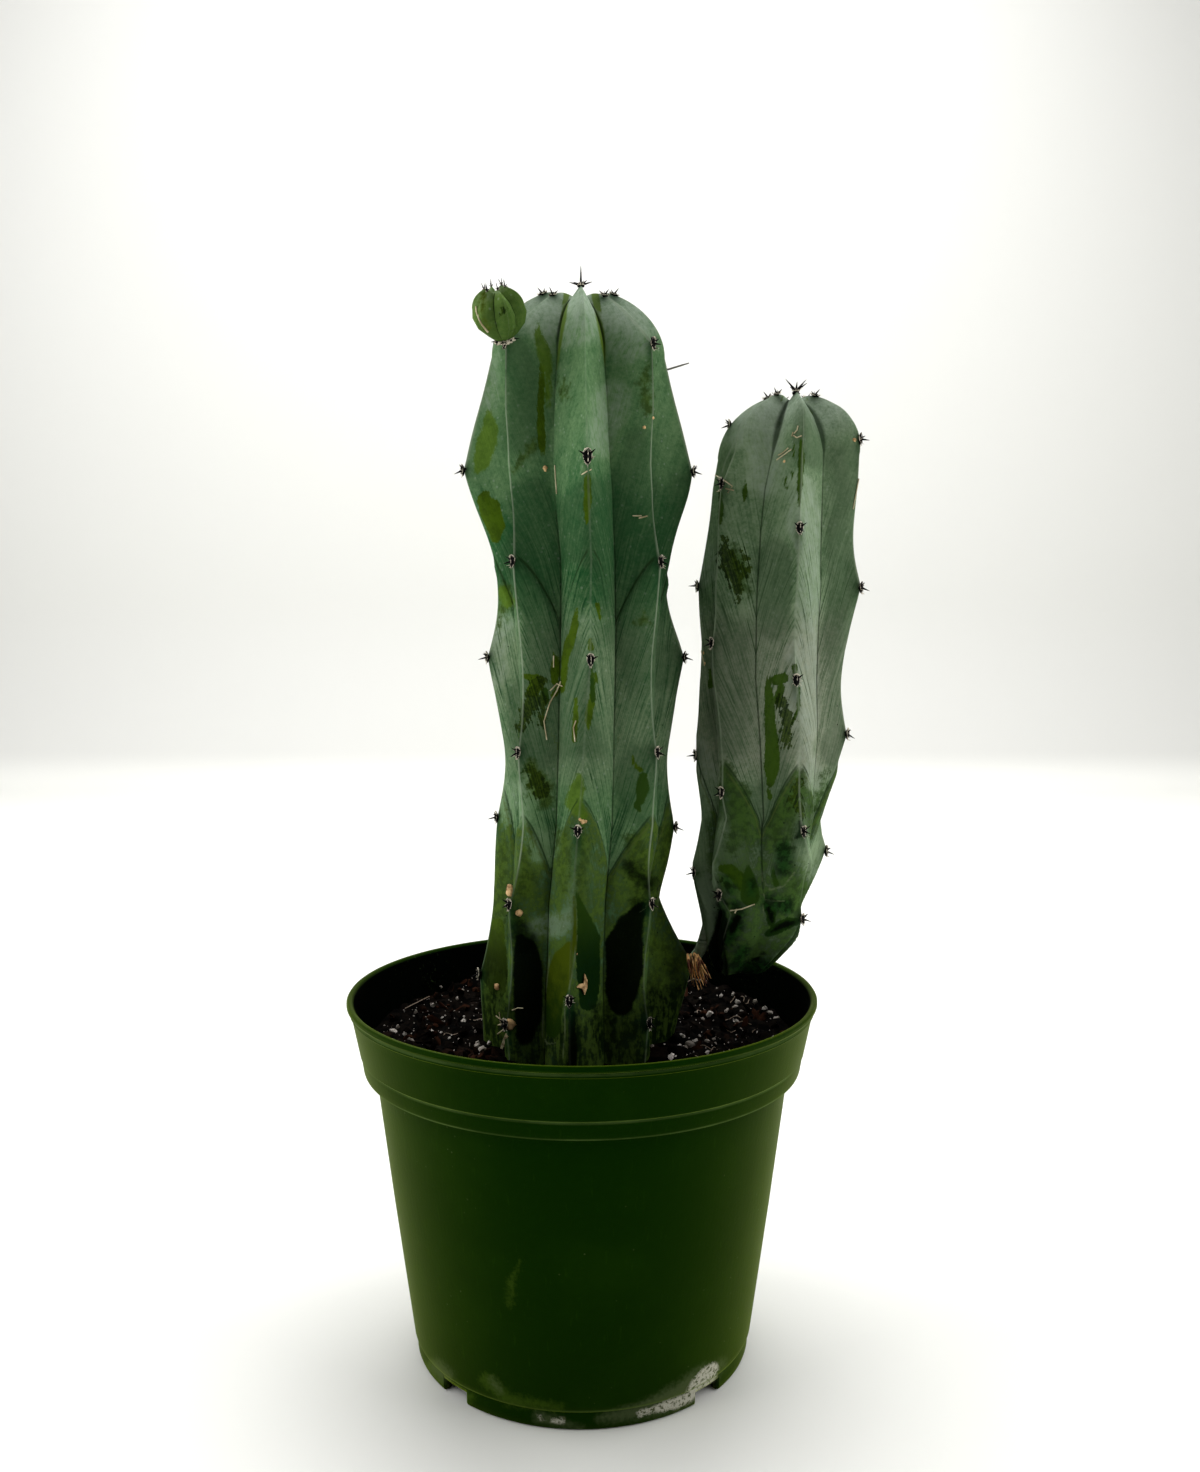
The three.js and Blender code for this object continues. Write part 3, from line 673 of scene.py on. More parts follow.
# The main stem. Eight thick ribs of firm cactus flesh, blue-green under a waxy bloom. Each rib
# bulges at its spine cushions and folds in a chevron above them, where a year's growth begins.
FOOT_CREST = [(62, 0), (66, 17), (76, 24)]
EVEN_CREST = FOOT_CREST + [(107, 33), (133, 34.5), (189, 31.5), (245, 34.1), (309, 39.4), (347, 29.5)]
ODD_CREST = FOOT_CREST + [(107, 32), (122, 34), (163, 33.4), (214, 32.4), (277, 34), (347, 33.5)]
FLARED_CREST = FOOT_CREST + [(107, 34), (136, 41.5), (160, 31)] + EVEN_CREST[5:]
EVEN = {
    "crest": EVEN_CREST, "levels": (133, 189, 245, 309), "rise": 23, "slope": 1,
    "dip": [(133, 2.4), (189, 3.4), (245, 4.8), (309, 7.4)], "creases": [(281, 27), (199.5, 25)],
}
ODD = {
    "crest": ODD_CREST, "levels": (122, 163, 214, 277, 347), "rise": 21.5, "slope": 2.1,
    "dip": [(122, 2), (163, 2.6), (277, 3.2), (347, 3)], "creases": [(279, 22), (193, 21)],
}
FLARED = dict(
    EVEN, crest=FLARED_CREST, levels=(136, 185, 245, 309),
    dip=[(133, 2.4), (189, 3.4), (245, 5.4), (280, 9.5)], creases=[(276, 26), (197, 22)],
)
RIGHT_SWAY = [(280, 0), (300, 4.6), (325, 4.2), (345, 0)]
LEFT_SWAY = [(280, 0), (300, -3.5), (325, -3.2), (345, 0)]
FRONT_SWAY = [(133, -7), (189, -9), (245, -1), (309, 1)]
MAIN_STEM = {
    "foot": 62, "shoulder": 347, "top": 370, "crown_dip": 3.5, "crown_tip": 12,
    "centre": [(133, -2, 0), (163, -0.9, 0), (189, 1.7, 0), (277, 1.3, 0), (309, -1.1, 0)],
    "furrow": [
        (62, 0), (66, 15), (76, 21), (107, 26), (140, 24.5), (245, 23.5), (309, 22.5), (347, 19.5),
    ],
    # Each rib's edge is how strong the painted highlight along its crest is
    "ribs": [
        dict(EVEN, angle=4, sway=FRONT_SWAY, edge=0.2), dict(ODD, angle=47, sway=RIGHT_SWAY),
        dict(FLARED, angle=93), dict(ODD, angle=138), dict(EVEN, angle=183), dict(ODD, angle=228),
        dict(EVEN, angle=272),
        dict(ODD, angle=316, sway=LEFT_SWAY),
    ],
    "chevron": 26,
    # How strong the painted shade in the furrows is, by height
    "cleft": [(62, 0.8), (270, 0.8), (292, 0.35), (325, 0.1), (345, 0.5), (352, 1)],
}
MAIN_ROWS = [(62, 100, 6), (100, 347, 318), (347, 370, 56)]
MAIN_COLUMNS = 28
FLANK_BULGE = 1.1
WAIST_PLACE = 1.45
CREST_ROUNDING = 0.05
FOLD_SWELL = 1.5
RIPPLE_DEPTH = 0.22
RIPPLE_SIZE = 9.0
POLE_REST = 0.02
CROWN_FULLNESS = 0.35


def list_value(rows, height, column=1):
    """The value at a height on a list of (height, value...) rows joined by straight lines."""
    table = np.array(rows, float)
    return np.interp(height, table[:, 0], table[:, column])


def crest_radius(rib, height):
    """The listed radius, less the dip x sin(pi x drop^1.45).

    Drop is the share of the way down from one cushion to the next below it.
    """
    levels = np.array(rib["levels"], float)
    upper = np.searchsorted(levels, height, side="right")
    between = (upper > 0) & (upper < len(levels))
    high = levels[np.clip(upper, 1, len(levels) - 1)]
    low = levels[np.clip(upper, 1, len(levels) - 1) - 1]
    drop = np.clip((high - height) / (high - low), 0, 1)
    pinch = list_value(rib["dip"], height) * np.sin(np.pi * drop**WAIST_PLACE)
    return list_value(rib["crest"], height) - np.where(between, pinch, 0)


def smooth(value):
    """The smooth climb 3v^2 - 2v^3 from 0 to 1."""
    value = np.clip(value, 0, 1)
    return value * value * (3 - 2 * value)


def rib_angle(rib, height):
    """The rib's own angle and its sway from side to side on the way up."""
    return rib["angle"] + (list_value(rib["sway"], height) if "sway" in rib else 0 * height)


def shoulder_turn(stem, height):
    """The turn over the shoulder: nothing below it, and a quarter turn at the stem's top."""
    return np.pi / 2 * np.clip((height - stem["shoulder"]) / (stem["top"] - stem["shoulder"]), 0, 1)


def crest_line(stem, rib, height, slide=0.0):
    """Radius and height of the crest: it climbs the shoulder as a quarter turn and dips to the tip."""
    turn = shoulder_turn(stem, height)
    shaft = np.minimum(height, stem["shoulder"])
    reach = np.where(turn > 0, rib["crest"][-1][1], crest_radius(rib, shaft + slide))
    radius = reach * np.cos(turn)
    sunk = smooth((stem["crown_tip"] - radius) / stem["crown_tip"]) * (height > stem["shoulder"])
    pit = stem["top"] - stem["shoulder"] - stem["crown_dip"]
    lift = rib["rise"] * np.sin(turn) ** rib["slope"]
    return radius, shaft + lift + (pit - lift) * sunk


def furrow_line(stem, height):
    """Radius and height of the furrow between two ribs, turned over the shoulder like the crest."""
    turn = shoulder_turn(stem, height)
    shaft = np.minimum(height, stem["shoulder"])
    pit = stem["top"] - stem["shoulder"] - stem["crown_dip"]
    return list_value(stem["furrow"], shaft) * np.cos(turn), shaft + pit * np.sin(turn) ** 1.5


def lean_of(stem, height):
    """How far the stem's middle stands from the pot's axis at a height."""
    middle = [list_value(stem["centre"], height, column) for column in (1, 2)]
    return np.stack([*middle, np.zeros_like(height)], axis=-1)


def stem_heights(bands):
    """Heights in even steps through bands of (start, end, count)."""
    steps = [np.linspace(start, end, count, endpoint=False) for start, end, count in bands]
    return np.concatenate([*steps, [bands[-1][1]]])


def facing(grid):
    """Outward unit vectors of a grid: the cross product of its steps round and its steps up."""
    up = np.gradient(grid, axis=0)
    around = (np.roll(grid, -1, axis=1) - np.roll(grid, 1, axis=1)) / 2
    normal = np.cross(around, up)
    return normal / np.maximum(np.linalg.norm(normal, axis=-1, keepdims=True), 1e-9)


def crease_relief(rib, across, height):
    """The chevron folds of a rib: each falls from its apex by its drop x across^1.7.

    Below the fold line the flesh swells within 3 mm and eases off downwards. It returns the swell
    and the height in mm by which each place lies below the nearest fold line.
    """
    relief = np.zeros_like(height)
    nearest = np.full_like(height, -1000.0)
    width = smooth((across - 0.02) / 0.3) * smooth((1.02 - across) / 0.2)
    for apex, drop in rib["creases"]:
        below = apex - drop * across**1.7 - height
        relief += np.exp(-np.maximum(below, 0) / 11) * smooth(below / 3) * width
        nearest = np.where(abs(below) < abs(nearest), below, nearest)
    return relief, np.clip(nearest, -30, 30)


def ripple(points, size):
    """Slow uneven waves over the skin: three crossed sines of the place over a size."""
    x, y, z = np.moveaxis(points / size, -1, 0)
    first, second = np.sin(2.1 * x + 1.3 * z + 0.7), np.sin(1.7 * y - 2.3 * z + 2.1)
    return (first + second + np.sin(1.1 * z + 1.9 * x * y)) / 3


def ribbed_stem(stem, bands, columns, relief_size=1.0):
    """The skin of a ribbed stem as a grid, with its height, share across the flank and fold lines.

    A flank runs from furrow to crest and swells by 4 x flank x (1 - flank) in its middle. The
    crest is rounded, the folds and slow ripples are laid on along the surface's own direction.
    """
    ribs = stem["ribs"]
    heights = stem_heights(bands)
    place = np.arange(columns) / columns
    straight = 1 - abs(2 * place - 1)
    rounding = stem.get("rounding", CREST_ROUNDING)
    rounded = 1 + rounding - np.hypot(1 - straight, rounding)
    flank = (rounded - rounded.min()) / (1 - rounded.min())
    full = stem.get("fullness", CROWN_FULLNESS)
    height = np.repeat(heights[:, None], columns, axis=1)
    valley_radius, valley_level = furrow_line(stem, height)
    turn = shoulder_turn(stem, height)
    parts = []
    for index, rib in enumerate(ribs):
        angle = rib_angle(rib, height)
        before = rib_angle(ribs[index - 1], height)
        after = rib_angle(ribs[(index + 1) % len(ribs)], height)
        span = (np.where(place < 0.5, before, after) - angle + 900) % 360 - 180
        crest, crest_level = crest_line(stem, rib, height, stem["chevron"] * (1 - flank))
        top = outward(angle) * crest[..., None]
        top[..., 2] = crest_level
        valley = outward(angle + span / 2) * valley_radius[..., None]
        valley[..., 2] = valley_level
        fullness = flank[None] ** (1 - full * smooth((height - stem["shoulder"] + 6) / 16))
        part = valley + (top - valley) * fullness[..., None]
        bulge = stem.get("bulge", FLANK_BULGE / np.maximum(crest, 20))
        swell = 1 + bulge * 4 * flank * (1 - flank) * np.cos(turn)
        part[..., :2] *= swell[..., None]
        relief, below = crease_relief(rib, 1 - straight[None] + 0 * height, height)
        # The edge: how strong the painted highlight along this rib's crest is
        parts.append((part, relief, below, 0 * height + rib.get("edge", 0.8)))
    grid = np.concatenate([part[0] for part in parts], axis=1)
    relief = np.concatenate([part[1] for part in parts], axis=1)
    folds = np.concatenate([part[2] for part in parts], axis=1)
    edges = np.concatenate([part[3] for part in parts], axis=1)
    grid = grid + lean_of(stem, grid[..., 2])
    share = np.clip((height[:, :1] - stem["foot"]) / (stem["top"] - stem["foot"]), 0, 1)
    fade = np.sin(np.pi * share) > POLE_REST
    relief = FOLD_SWELL * relief * relief_size
    relief = relief + RIPPLE_DEPTH * relief_size * ripple(grid, RIPPLE_SIZE)
    grid = grid + facing(grid) * (relief * fade)[..., None]
    grid[0] = grid[0].mean(axis=0)
    grid[-1] = grid[-1].mean(axis=0)
    height = np.repeat(heights[:, None], columns * len(ribs), axis=1)
    across = np.repeat(np.tile(1 - straight, len(ribs))[None], len(heights), axis=0)
    # How strong the painted shade in the furrows is at each height
    cleft = list_value(stem["cleft"], height)
    return grid, {"height": height, "across": across, "fold": folds, "edge": edges, "cleft": cleft}


def crest_place(stem, rib, height):
    """The point on a rib's crest at a height along it."""
    radius, level = crest_line(stem, rib, np.float64(height))
    point = outward(rib_angle(rib, np.float64(height))) * radius
    point[2] = level
    return point + lean_of(stem, level)


# Marks on the skin, as chains of (across, down, half-width) on the photo. Rubbed and lit flesh is
# olive with a sharp edge, sodden flesh dark green, and wet patches are nearly black; both sodden and
# wet marks are partly painted shade, on the undersides and at the foot. The tongue is a smooth olive
# patch at the foot. Worn and murky skin is soft-edged, the murky marks partly painted shade, and
# speckles are broken up. Fresh flesh lies open in the clefts, chalk is a thin pale line, partly a
# painted highlight along the crests, and the pale and deep strokes are painted light and painted
# shade: the pale ones thicken the bloom and the deep ones darken the skin.
MAIN_MARKS = {
    "rubbed": [
        [(542.3, 366.2, 3), (541.4, 388.4, 3), (540.8, 410.6, 3.5), (541, 429, 4), (542.3, 445.7, 3.5),
         (543.2, 456.8, 1.5)],
        [(487, 493, 3), (484, 500, 7), (489.6, 508.6, 11), (495.1, 525.2, 10), (495, 538, 5)],
        [(587.6, 477, 3), (587.6, 501, 4), (586.7, 523, 2)], [(524, 676, 2), (536, 679, 5)],
        [(538, 682, 7), (533, 690, 7)], [(554.5, 651, 1.5), (555.4, 666, 4), (554.5, 681, 4)],
        [(577, 608, 1.5), (574.4, 626, 4), (569.5, 642.8, 5), (566, 656, 4), (563.6, 672.7, 4),
         (562.8, 691, 2)], [(552.9, 696, 2.5), (559.5, 687.6, 3)], [(597.6, 604.7, 2), (600, 618, 2)],
        [(590, 639.5, 1), (591, 647.8, 3.5)],
        [(591.8, 669, 1.2), (592.7, 689, 2.5), (591, 704, 4), (587.7, 720.8, 3), (588.5, 729, 1.5)],
        [(595, 674, 1.5), (596, 681, 2)],
        [(576, 699, 2), (576, 715.8, 3), (574.4, 730.7, 2.5), (574.4, 740.7, 2)],
        [(632.5, 755.6, 1.2), (634, 763.9, 2), (640.8, 770.5, 2.5)],
        [(497, 925, 7), (494, 950, 12), (495, 975, 13), (498, 990, 8)],
    ],
    "lit": [
        [(538.6, 324.6, 1.5), (537.7, 334.7, 4), (541.4, 344, 6), (544.1, 353.2, 6.5),
         (546.9, 366.2, 5.5), (548.8, 381, 3), (548.4, 395.8, 3.5), (548.8, 408.7, 1.5)],
        [(489, 412, 3), (490, 428, 8), (487, 442, 10), (482, 460, 9), (478, 470, 4)],
        [(579, 776, 3), (577, 790, 8), (573, 803, 8), (583, 815, 5)], [(504, 592, 6), (508, 602, 6)],
    ],
    # Sodden marks, partly painted shade
    "sodden": [
        [(643, 777, 5), (642.4, 788.8, 7), (640.8, 799, 5)], [(637, 805, 4), (640, 811, 2)],
        [(577, 893, 1), (581, 908, 4), (585, 922, 8), (588, 940, 12), (588, 962, 12), (589, 985, 11),
         (588, 1002, 9)], [(592, 680, 2), (593, 700, 3)], [(545, 690, 3), (546, 702, 3)],
    ],
    "speckled": [
        [(538, 682, 8), (533, 697, 10), (528, 712, 9), (521, 728, 5)], [(540, 700, 8), (541, 725, 3)],
        [(530, 770, 6), (540, 790, 9)],
    ],
    "worn": [
        [(534, 442, 4), (524.7, 458.6, 6), (515.5, 469.7, 3)],
        [(504.8, 588, 6), (509.8, 601, 8), (498, 615, 4), (495.7, 633, 5)],
        [(563.6, 381, 4), (562.6, 395.8, 4)], [(648.6, 362.5, 3), (645, 384.7, 6), (648.6, 410, 5)],
        [(644, 612, 2), (644, 622, 6)], [(530, 768, 8), (540, 788, 13), (545, 800, 9)],
        [(524, 850, 6), (526, 870, 9), (526, 890, 10)],
        [(584, 838, 5), (582, 870, 7), (580, 900, 6), (582, 930, 4)],
        [(563, 835, 6), (564, 860, 8), (565, 890, 6)], [(634, 840, 8), (636, 865, 10), (632, 885, 7)],
        [(500, 850, 10), (498, 885, 10), (490, 1010, 9), (496, 1045, 9)],
        [(668, 830, 8), (668, 870, 10), (660, 900, 8)], [(655, 940, 8), (668, 965, 14), (658, 985, 12)],
        [(640, 855, 10), (645, 880, 10), (600, 1030, 10)], [(680, 560, 5), (676, 600, 4)],
    ],
    # Wet marks, nearly black, partly painted shade at the foot
    "wet": [
        [(520, 938, 5), (526, 950, 12), (528, 968, 15), (528, 990, 15), (528, 1015, 14),
         (525, 1036, 9)],
        [(644, 904, 3), (638, 913, 8), (630, 926, 14), (624, 945, 19), (625, 970, 19), (621, 990, 17),
         (621, 1003, 13)], [(573, 1012, 2), (573, 1040, 4), (572, 1070, 5)],
    ],
    "tongue": [
        [(569, 946, 5), (562, 958, 9), (557, 975, 11), (554, 1000, 10), (553, 1030, 8)],
        [(567, 950, 6), (566, 975, 6), (563, 992, 5)], [(574, 896, 1), (575, 925, 2), (574, 950, 3)],
    ],
    # Murky marks, partly painted shade
    "murk": [
        [(514, 912, 3), (518, 925, 8), (525, 940, 12)], [(636, 904, 4), (646, 908, 4)],
        [(684, 990, 10), (672, 1000, 14)], [(655, 995, 8), (662, 1010, 12)],
        [(572, 1005, 3), (573, 1060, 5)], [(560, 1030, 4), (556, 1036, 6)],
        [(690, 1000, 12), (676, 1012, 16), (660, 1035, 14), (658, 1070, 14)],
        [(596, 1010, 3), (598, 1050, 4)], [(628, 868, 6), (650, 884, 6)],
    ],
    "fresh": [
        [(567, 291, 3.5), (563, 320, 3), (559, 350, 1.6), (557, 370, 0.8)],
        [(595, 294, 4), (600, 322, 3.6), (604, 350, 2), (607, 374, 0.8)],
    ],
    # Chalk lines: pale marks, partly painted highlights along the crests
    "chalk": [
        [(550, 955, 0.6), (547, 980, 0.8), (544, 1002, 0.8), (542, 1034, 1), (547, 1044, 0.8),
         (556, 1043, 0.6)], [(564, 1002, 0.6), (565, 1030, 0.8), (563, 1058, 0.6)],
        [(679, 939, 1), (689, 952, 1)], [(648, 905, 0.8), (640, 912, 0.6)],
        [(612, 438, 0.5), (611, 428, 0.5), (615, 420, 0.5), (619, 422, 0.5), (623, 432, 0.5),
         (622, 441, 0.5), (616, 443, 0.5), (612, 438, 0.5)],
        [(577, 935, 0.7), (575, 955, 0.9), (572, 975, 0.8), (569, 990, 0.6)],
        [(600, 295, 0.8), (612, 300, 0.8), (628, 316, 0.8), (641, 330, 0.8), (650, 342, 0.8)],
        [(514, 326, 0.6), (522, 308, 0.6), (533, 295, 0.6), (545, 291, 0.6)],
    ],
    # Painted light: broad strokes that make the skin paler where light falls
    "painted_light": [
        [(493, 350, 3), (492, 400, 3)], [(582, 300, 4), (580, 330, 4)], [(534, 302, 10), (545, 325, 6)],
        [(630, 320, 10), (640, 335, 6)], [(612, 400, 8), (606, 440, 8)],
        [(505, 630, 6), (510, 690, 8), (512, 740, 5)], [(600, 660, 8), (610, 700, 10), (625, 740, 10)],
        [(563, 890, 4), (560, 920, 5)], [(617, 845, 4)], [(545, 845, 5), (540, 860, 4)],
        [(533, 905, 3), (537, 925, 3)], [(575, 580, 10), (585, 620, 8)], [(660, 700, 5), (655, 800, 4)],
        [(512, 770, 6), (513, 810, 6)], [(552, 300, 3), (550, 335, 5)],
        [(606, 305, 4), (618, 325, 8), (622, 345, 6)],
    ],
    # Painted shade: broad strokes that darken the skin where shade falls
    "painted_shade": [
        [(564, 520, 6), (563, 600, 8)], [(598, 500, 6), (600, 600, 8)], [(568, 640, 6), (570, 740, 7)],
        [(604, 640, 6), (604, 740, 7)], [(638, 540, 8), (640, 620, 10)],
        [(642, 660, 9), (640, 740, 10), (640, 790, 10)], [(645, 760, 8), (646, 810, 6)],
        [(520, 700, 8), (522, 760, 10)], [(550, 880, 5), (550, 900, 5)], [(526, 885, 6), (526, 900, 8)],
        [(655, 900, 8), (660, 940, 10)], [(498, 980, 8), (496, 1020, 10)],
        [(516, 350, 4), (520, 400, 8), (525, 440, 6)], [(520, 555, 8), (535, 585, 12), (540, 620, 8)],
        [(652, 560, 6), (645, 590, 8)], [(634, 500, 8), (630, 530, 8)], [(588, 500, 7), (590, 540, 8)],
        [(632, 445, 8), (634, 490, 8)], [(685, 490, 5), (678, 540, 6)],
        [(533, 500, 10), (538, 540, 12)], [(528, 650, 8), (532, 740, 12)],
        [(660, 860, 10), (662, 900, 8)], [(672, 660, 5), (672, 720, 5)],
    ],
}
TONE_EDGE = 14
FAR_OFF = 30


def painted_light_and_shade_field(points, normals, painted_light, painted_shade):
    """How much painted light (to 1) or painted shade (to -1) broad strokes lay on the skin: e^-(distance
    / edge)^2.
    """
    share = np.zeros(points.shape[:-1])
    for strokes, sign in ((painted_light, 1), (painted_shade, -1)):
        for stroke in strokes:
            distance = mark_field(points, normals, [stroke])
            share += sign * np.exp(-((np.maximum(distance, 0) / TONE_EDGE) ** 2))
    return np.clip(share, -1, 1)


def mark_field(points, normals, strokes):
    """The least distance in pixels from any stroke, on the skin that faces the camera."""
    across, down = photo_place(points)
    seen = np.sum(normals * (EYE - points), axis=-1) > 0
    least = np.full(across.shape, float(FAR_OFF))
    for stroke in strokes:
        least = np.minimum(least, stroke_distance(across, down, stroke))
    return np.where(seen, np.maximum(least, -FAR_OFF), FAR_OFF)


# Colours of the wax, the marks and the folds. A pair runs from the first to the second.
# The painted light's wax, and a darker one for low on the stem
PAINTED_LIGHT_WAX = (0.27, 0.33, 0.27)
LOW_PAINTED_LIGHT = (0.14, 0.19, 0.13)
CROWN_FROST = (0.37, 0.44, 0.36)
WAX_FLECK = (0.30, 0.37, 0.28)
ASHEN_SHIFT = (1.32, 1.0, 1.30)
LIT_OLIVE = ((0.050, 0.105, 0.008), (0.098, 0.180, 0.016))
# The sodden marks' greens, darkest at the foot, partly painted shade
SODDEN_AND_SHADE_GREEN = ((0.0010, 0.0150, 0.0008), (0.020, 0.052, 0.004))
SPECKLE_GREEN = ((0.006, 0.014, 0.002), (0.034, 0.062, 0.004))
TONGUE_OLIVE = ((0.009, 0.026, 0.001), (0.052, 0.078, 0.002))
FOOT_MOSS = ((0.002, 0.008, 0.001), (0.038, 0.068, 0.010))
# The chalk lines' colours, partly painted highlights
CHALK_AND_HIGHLIGHT = ((0.13, 0.17, 0.08), (0.30, 0.36, 0.26))
FRESH_FLESH = (0.088, 0.150, 0.012)
# The wet marks' near black, partly painted shade
WET_AND_SHADE_BLACK = (0.0006, 0.0020, 0.0004)
PIT_BLACK = (0.004, 0.009, 0.003)
# Painted shade in the fold lines, and a painted highlight on the swell below each
FOLD_SHADE = (0.012, 0.030, 0.007)
FOLD_HIGHLIGHT = (0.085, 0.120, 0.030)
# Painted shade in the furrows
FURROW_SHADE_DARK = (0.006, 0.016, 0.004)
# Painted highlight along the crests
CREST_HIGHLIGHT = (0.26, 0.32, 0.22)
# Heights in mm where a finish starts, is full, fades and ends, or from which to which it fades
VEINED_BAND = (150, 190, 262, 318)
DULL_BAND = (248, 280, 282, 315)
ASHEN_BAND = (196, 212, 248, 268)
RUBBED_FADE = (136, 158)
SODDEN_AND_SHADE_FADE = (141, 168)
TONGUE_FADE = (122, 148)


def shaded(colour, share):
    """A colour times a share."""
    return tuple(share * part for part in colour)


def cactus_skin(name, bloom, flesh, rubbed, worn, murk, dull=0.36, moss_height=130, top=370):
    """A waxy cactus skin: pale bloom over green flesh, veins down the flanks, moss, marks and folds."""
    material, shader, at = new_material(name)
    keys = ("across", "height", "fall", "fold", "tone")
    across, height, fall, fold, tone = (at.value_of(key) for key in keys)
    cloud = at.noise(38, 4)
    mottle = at.noise(190, 4, 0.6)
    grit = at.noise(420, 3, 0.65)
    fine = at.noise(900, 4, 0.7)
    vein_at = at.node("ShaderNodeCombineXYZ", {}, {0: fall * 0.75, 1: across * 1.6, 2: cloud * 3})
    vein = vein_at.noise(1.0, 3, 0.6)
    wide_vein = vein_at.noise(0.25, 2, 0.5)
    veined = height.between(*VEINED_BAND)
    # The tone holds the painted light, above 0, and the painted shade, below 0, mottled
    tone = tone + tone * mottle.swing(1.6)
    painted_light_share = tone.rises(0, 1)

    # The wax: its amount over the flesh, painted light and painted shade, frost at the crown, and veins
    amount = 0.66 + cloud.swing(0.35) + mottle.swing(0.40) + grit.swing(0.45) + fine.swing(0.85)
    amount = amount + painted_light_share * 0.26 + wide_vein.swing(0.35) + (vein - 0.5) * (0.20 + veined * 0.85)
    amount = amount - (height + cloud.swing(40)).between(*DULL_BAND) * dull
    ashen = tuple(part * share for part, share in zip(bloom, ASHEN_SHIFT))
    bloom_here = height.between(*ASHEN_BAND).blend(bloom, ashen, 0.8)
    colour = amount.rises(0.0, 1.2).blend(flesh, bloom_here)
    # Painted light: paler wax where the light strokes lie
    painted_light_wax = tone.rises(0.1, 1) * (0.34 + vein.swing(1.0) + grit.swing(1.2)).rises(0, 0.7)
    colour = (painted_light_wax * height.rises(175, 215)).blend(colour, PAINTED_LIGHT_WAX, 0.6)
    frost = height.rises(top - 21, top - 11) * (0.6 + fine.swing(1.5) + mottle.swing(1.0))
    colour = frost.blend(colour, CROWN_FROST, 0.8)
    # Painted light low on the stem, in a darker wax
    colour = (painted_light_share * height.rises(178, 160)).blend(colour, LOW_PAINTED_LIGHT, 0.6)
    dark_vein = vein.rises(0.44, 0.34) * veined * across.rises(0.05, 0.3)
    colour = dark_vein.blend(colour, shaded(flesh, 0.5), 0.75)
    flecks = at.spots(420).rises(0.26, 0.08) * mottle.rises(0.40, 0.60)
    colour = flecks.blend(colour, WAX_FLECK, 0.35)
    # Painted shade from the deep strokes, and darker skin along the wide veins
    shade = tone.rises(0, -1) + wide_vein.rises(0.45, 0.25) * veined * 0.25
    painted_shade = tuple(0.14 * part + 0.35 * other for part, other in zip(bloom, flesh))
    colour = shade.blend(colour, painted_shade, 0.50)

    # Moss below the folds, where the skin is oldest
    reach = fold.rises(29, 12)
    low = height.rises(188, 168)
    grown = fold.rises(-0.5, 1.5) * height.rises(235, 205) * (reach + low - reach * low)
    grainy = mottle.swing(2.4) + grit.swing(1.8) + fine.swing(1.8)
    moss_share = (grown - painted_light_share * 0.7 + grainy).rises(0.1, 1.2) * grown
    moss_tone = (mottle * 0.4 + grit * 0.3 + fine * 0.3).rises(0.42, 0.57)
    moss_tone = moss_tone.blend(shaded(worn, 0.22), worn)
    colour = moss_share.blend(colour, moss_tone, 0.90)

    def painted(kind, fray, outer, inner, tone, strength):
        """The share of a kind of stroke, its edge frayed by noise, and the colour with it laid on."""
        mark = (at.value_of(kind) + fray).rises(outer, inner)
        return mark, mark.blend(colour, tone, strength)

    # The marks, each laid over the last
    ragged = fine.swing(3.5) + mottle.swing(3.5) + vein.swing(3.5)
    patchy = mottle * 0.6 + fine * 0.4
    worn_tone = grit.rises(0.38, 0.62).blend(shaded(worn, 0.5), worn)
    _, colour = painted("worn", grit.swing(24) + mottle.swing(18), 3.5, -6, worn_tone, 0.8)
    rub_tone = patchy.rises(0.35, 0.60).blend(shaded(rubbed, 0.6), rubbed)
    rub_tone = height.rises(*RUBBED_FADE).blend(shaded(rubbed, 0.25), rub_tone)
    rub_mark, colour = painted("rubbed", ragged, 0.7, -0.7, rub_tone, 0.95)
    lit_tone = patchy.rises(0.30, 0.65).blend(*LIT_OLIVE)
    _, colour = painted("lit", ragged * 1.5, 1.6, -1.6, lit_tone, 0.9)
    # Sodden marks, partly painted shade, darker towards the foot
    sodden_and_shade_tone = height.rises(*SODDEN_AND_SHADE_FADE).blend(*SODDEN_AND_SHADE_GREEN)
    sodden_and_shade_mark, colour = painted("sodden", ragged * 0.8, 0.8, -0.8, sodden_and_shade_tone, 0.95)
    speckle_tone = (vein * 0.5 + fine * 0.5).rises(0.42, 0.58).blend(*SPECKLE_GREEN)
    _, colour = painted("speckled", grit.swing(26) + vein.swing(14), 0.2, -1.4, speckle_tone, 0.9)
    # Murky marks, partly painted shade
    murk_and_shade_tone = grit.rises(0.4, 0.6).blend(shaded(murk, 0.25), murk)
    _, colour = painted("murk", mottle.swing(12) + grit.swing(10), 7, -5, murk_and_shade_tone, 0.9)
    tongue_tone = (height + mottle.swing(30)).rises(*TONGUE_FADE).blend(*TONGUE_OLIVE)
    tongue_mark, colour = painted("tongue", mottle.swing(3), 0.8, -1.4, tongue_tone, 1)
    _, colour = painted("fresh", mottle.swing(2), 0.8, -1.2, FRESH_FLESH, 0.9)
    foot = (height + mottle.swing(30) + cloud.swing(20)).rises(moss_height + 8, moss_height - 10)
    foot = foot * (1 - tongue_mark) * (1 - sodden_and_shade_mark)
    fibrous = at.stretched((1, 1, 0.25)).noise(500, 3, 0.6)
    foot_tone = (fibrous * 0.6 + grit * 0.4).rises(0.44, 0.58).blend(*FOOT_MOSS)
    colour = foot.blend(colour, foot_tone, 0.85)
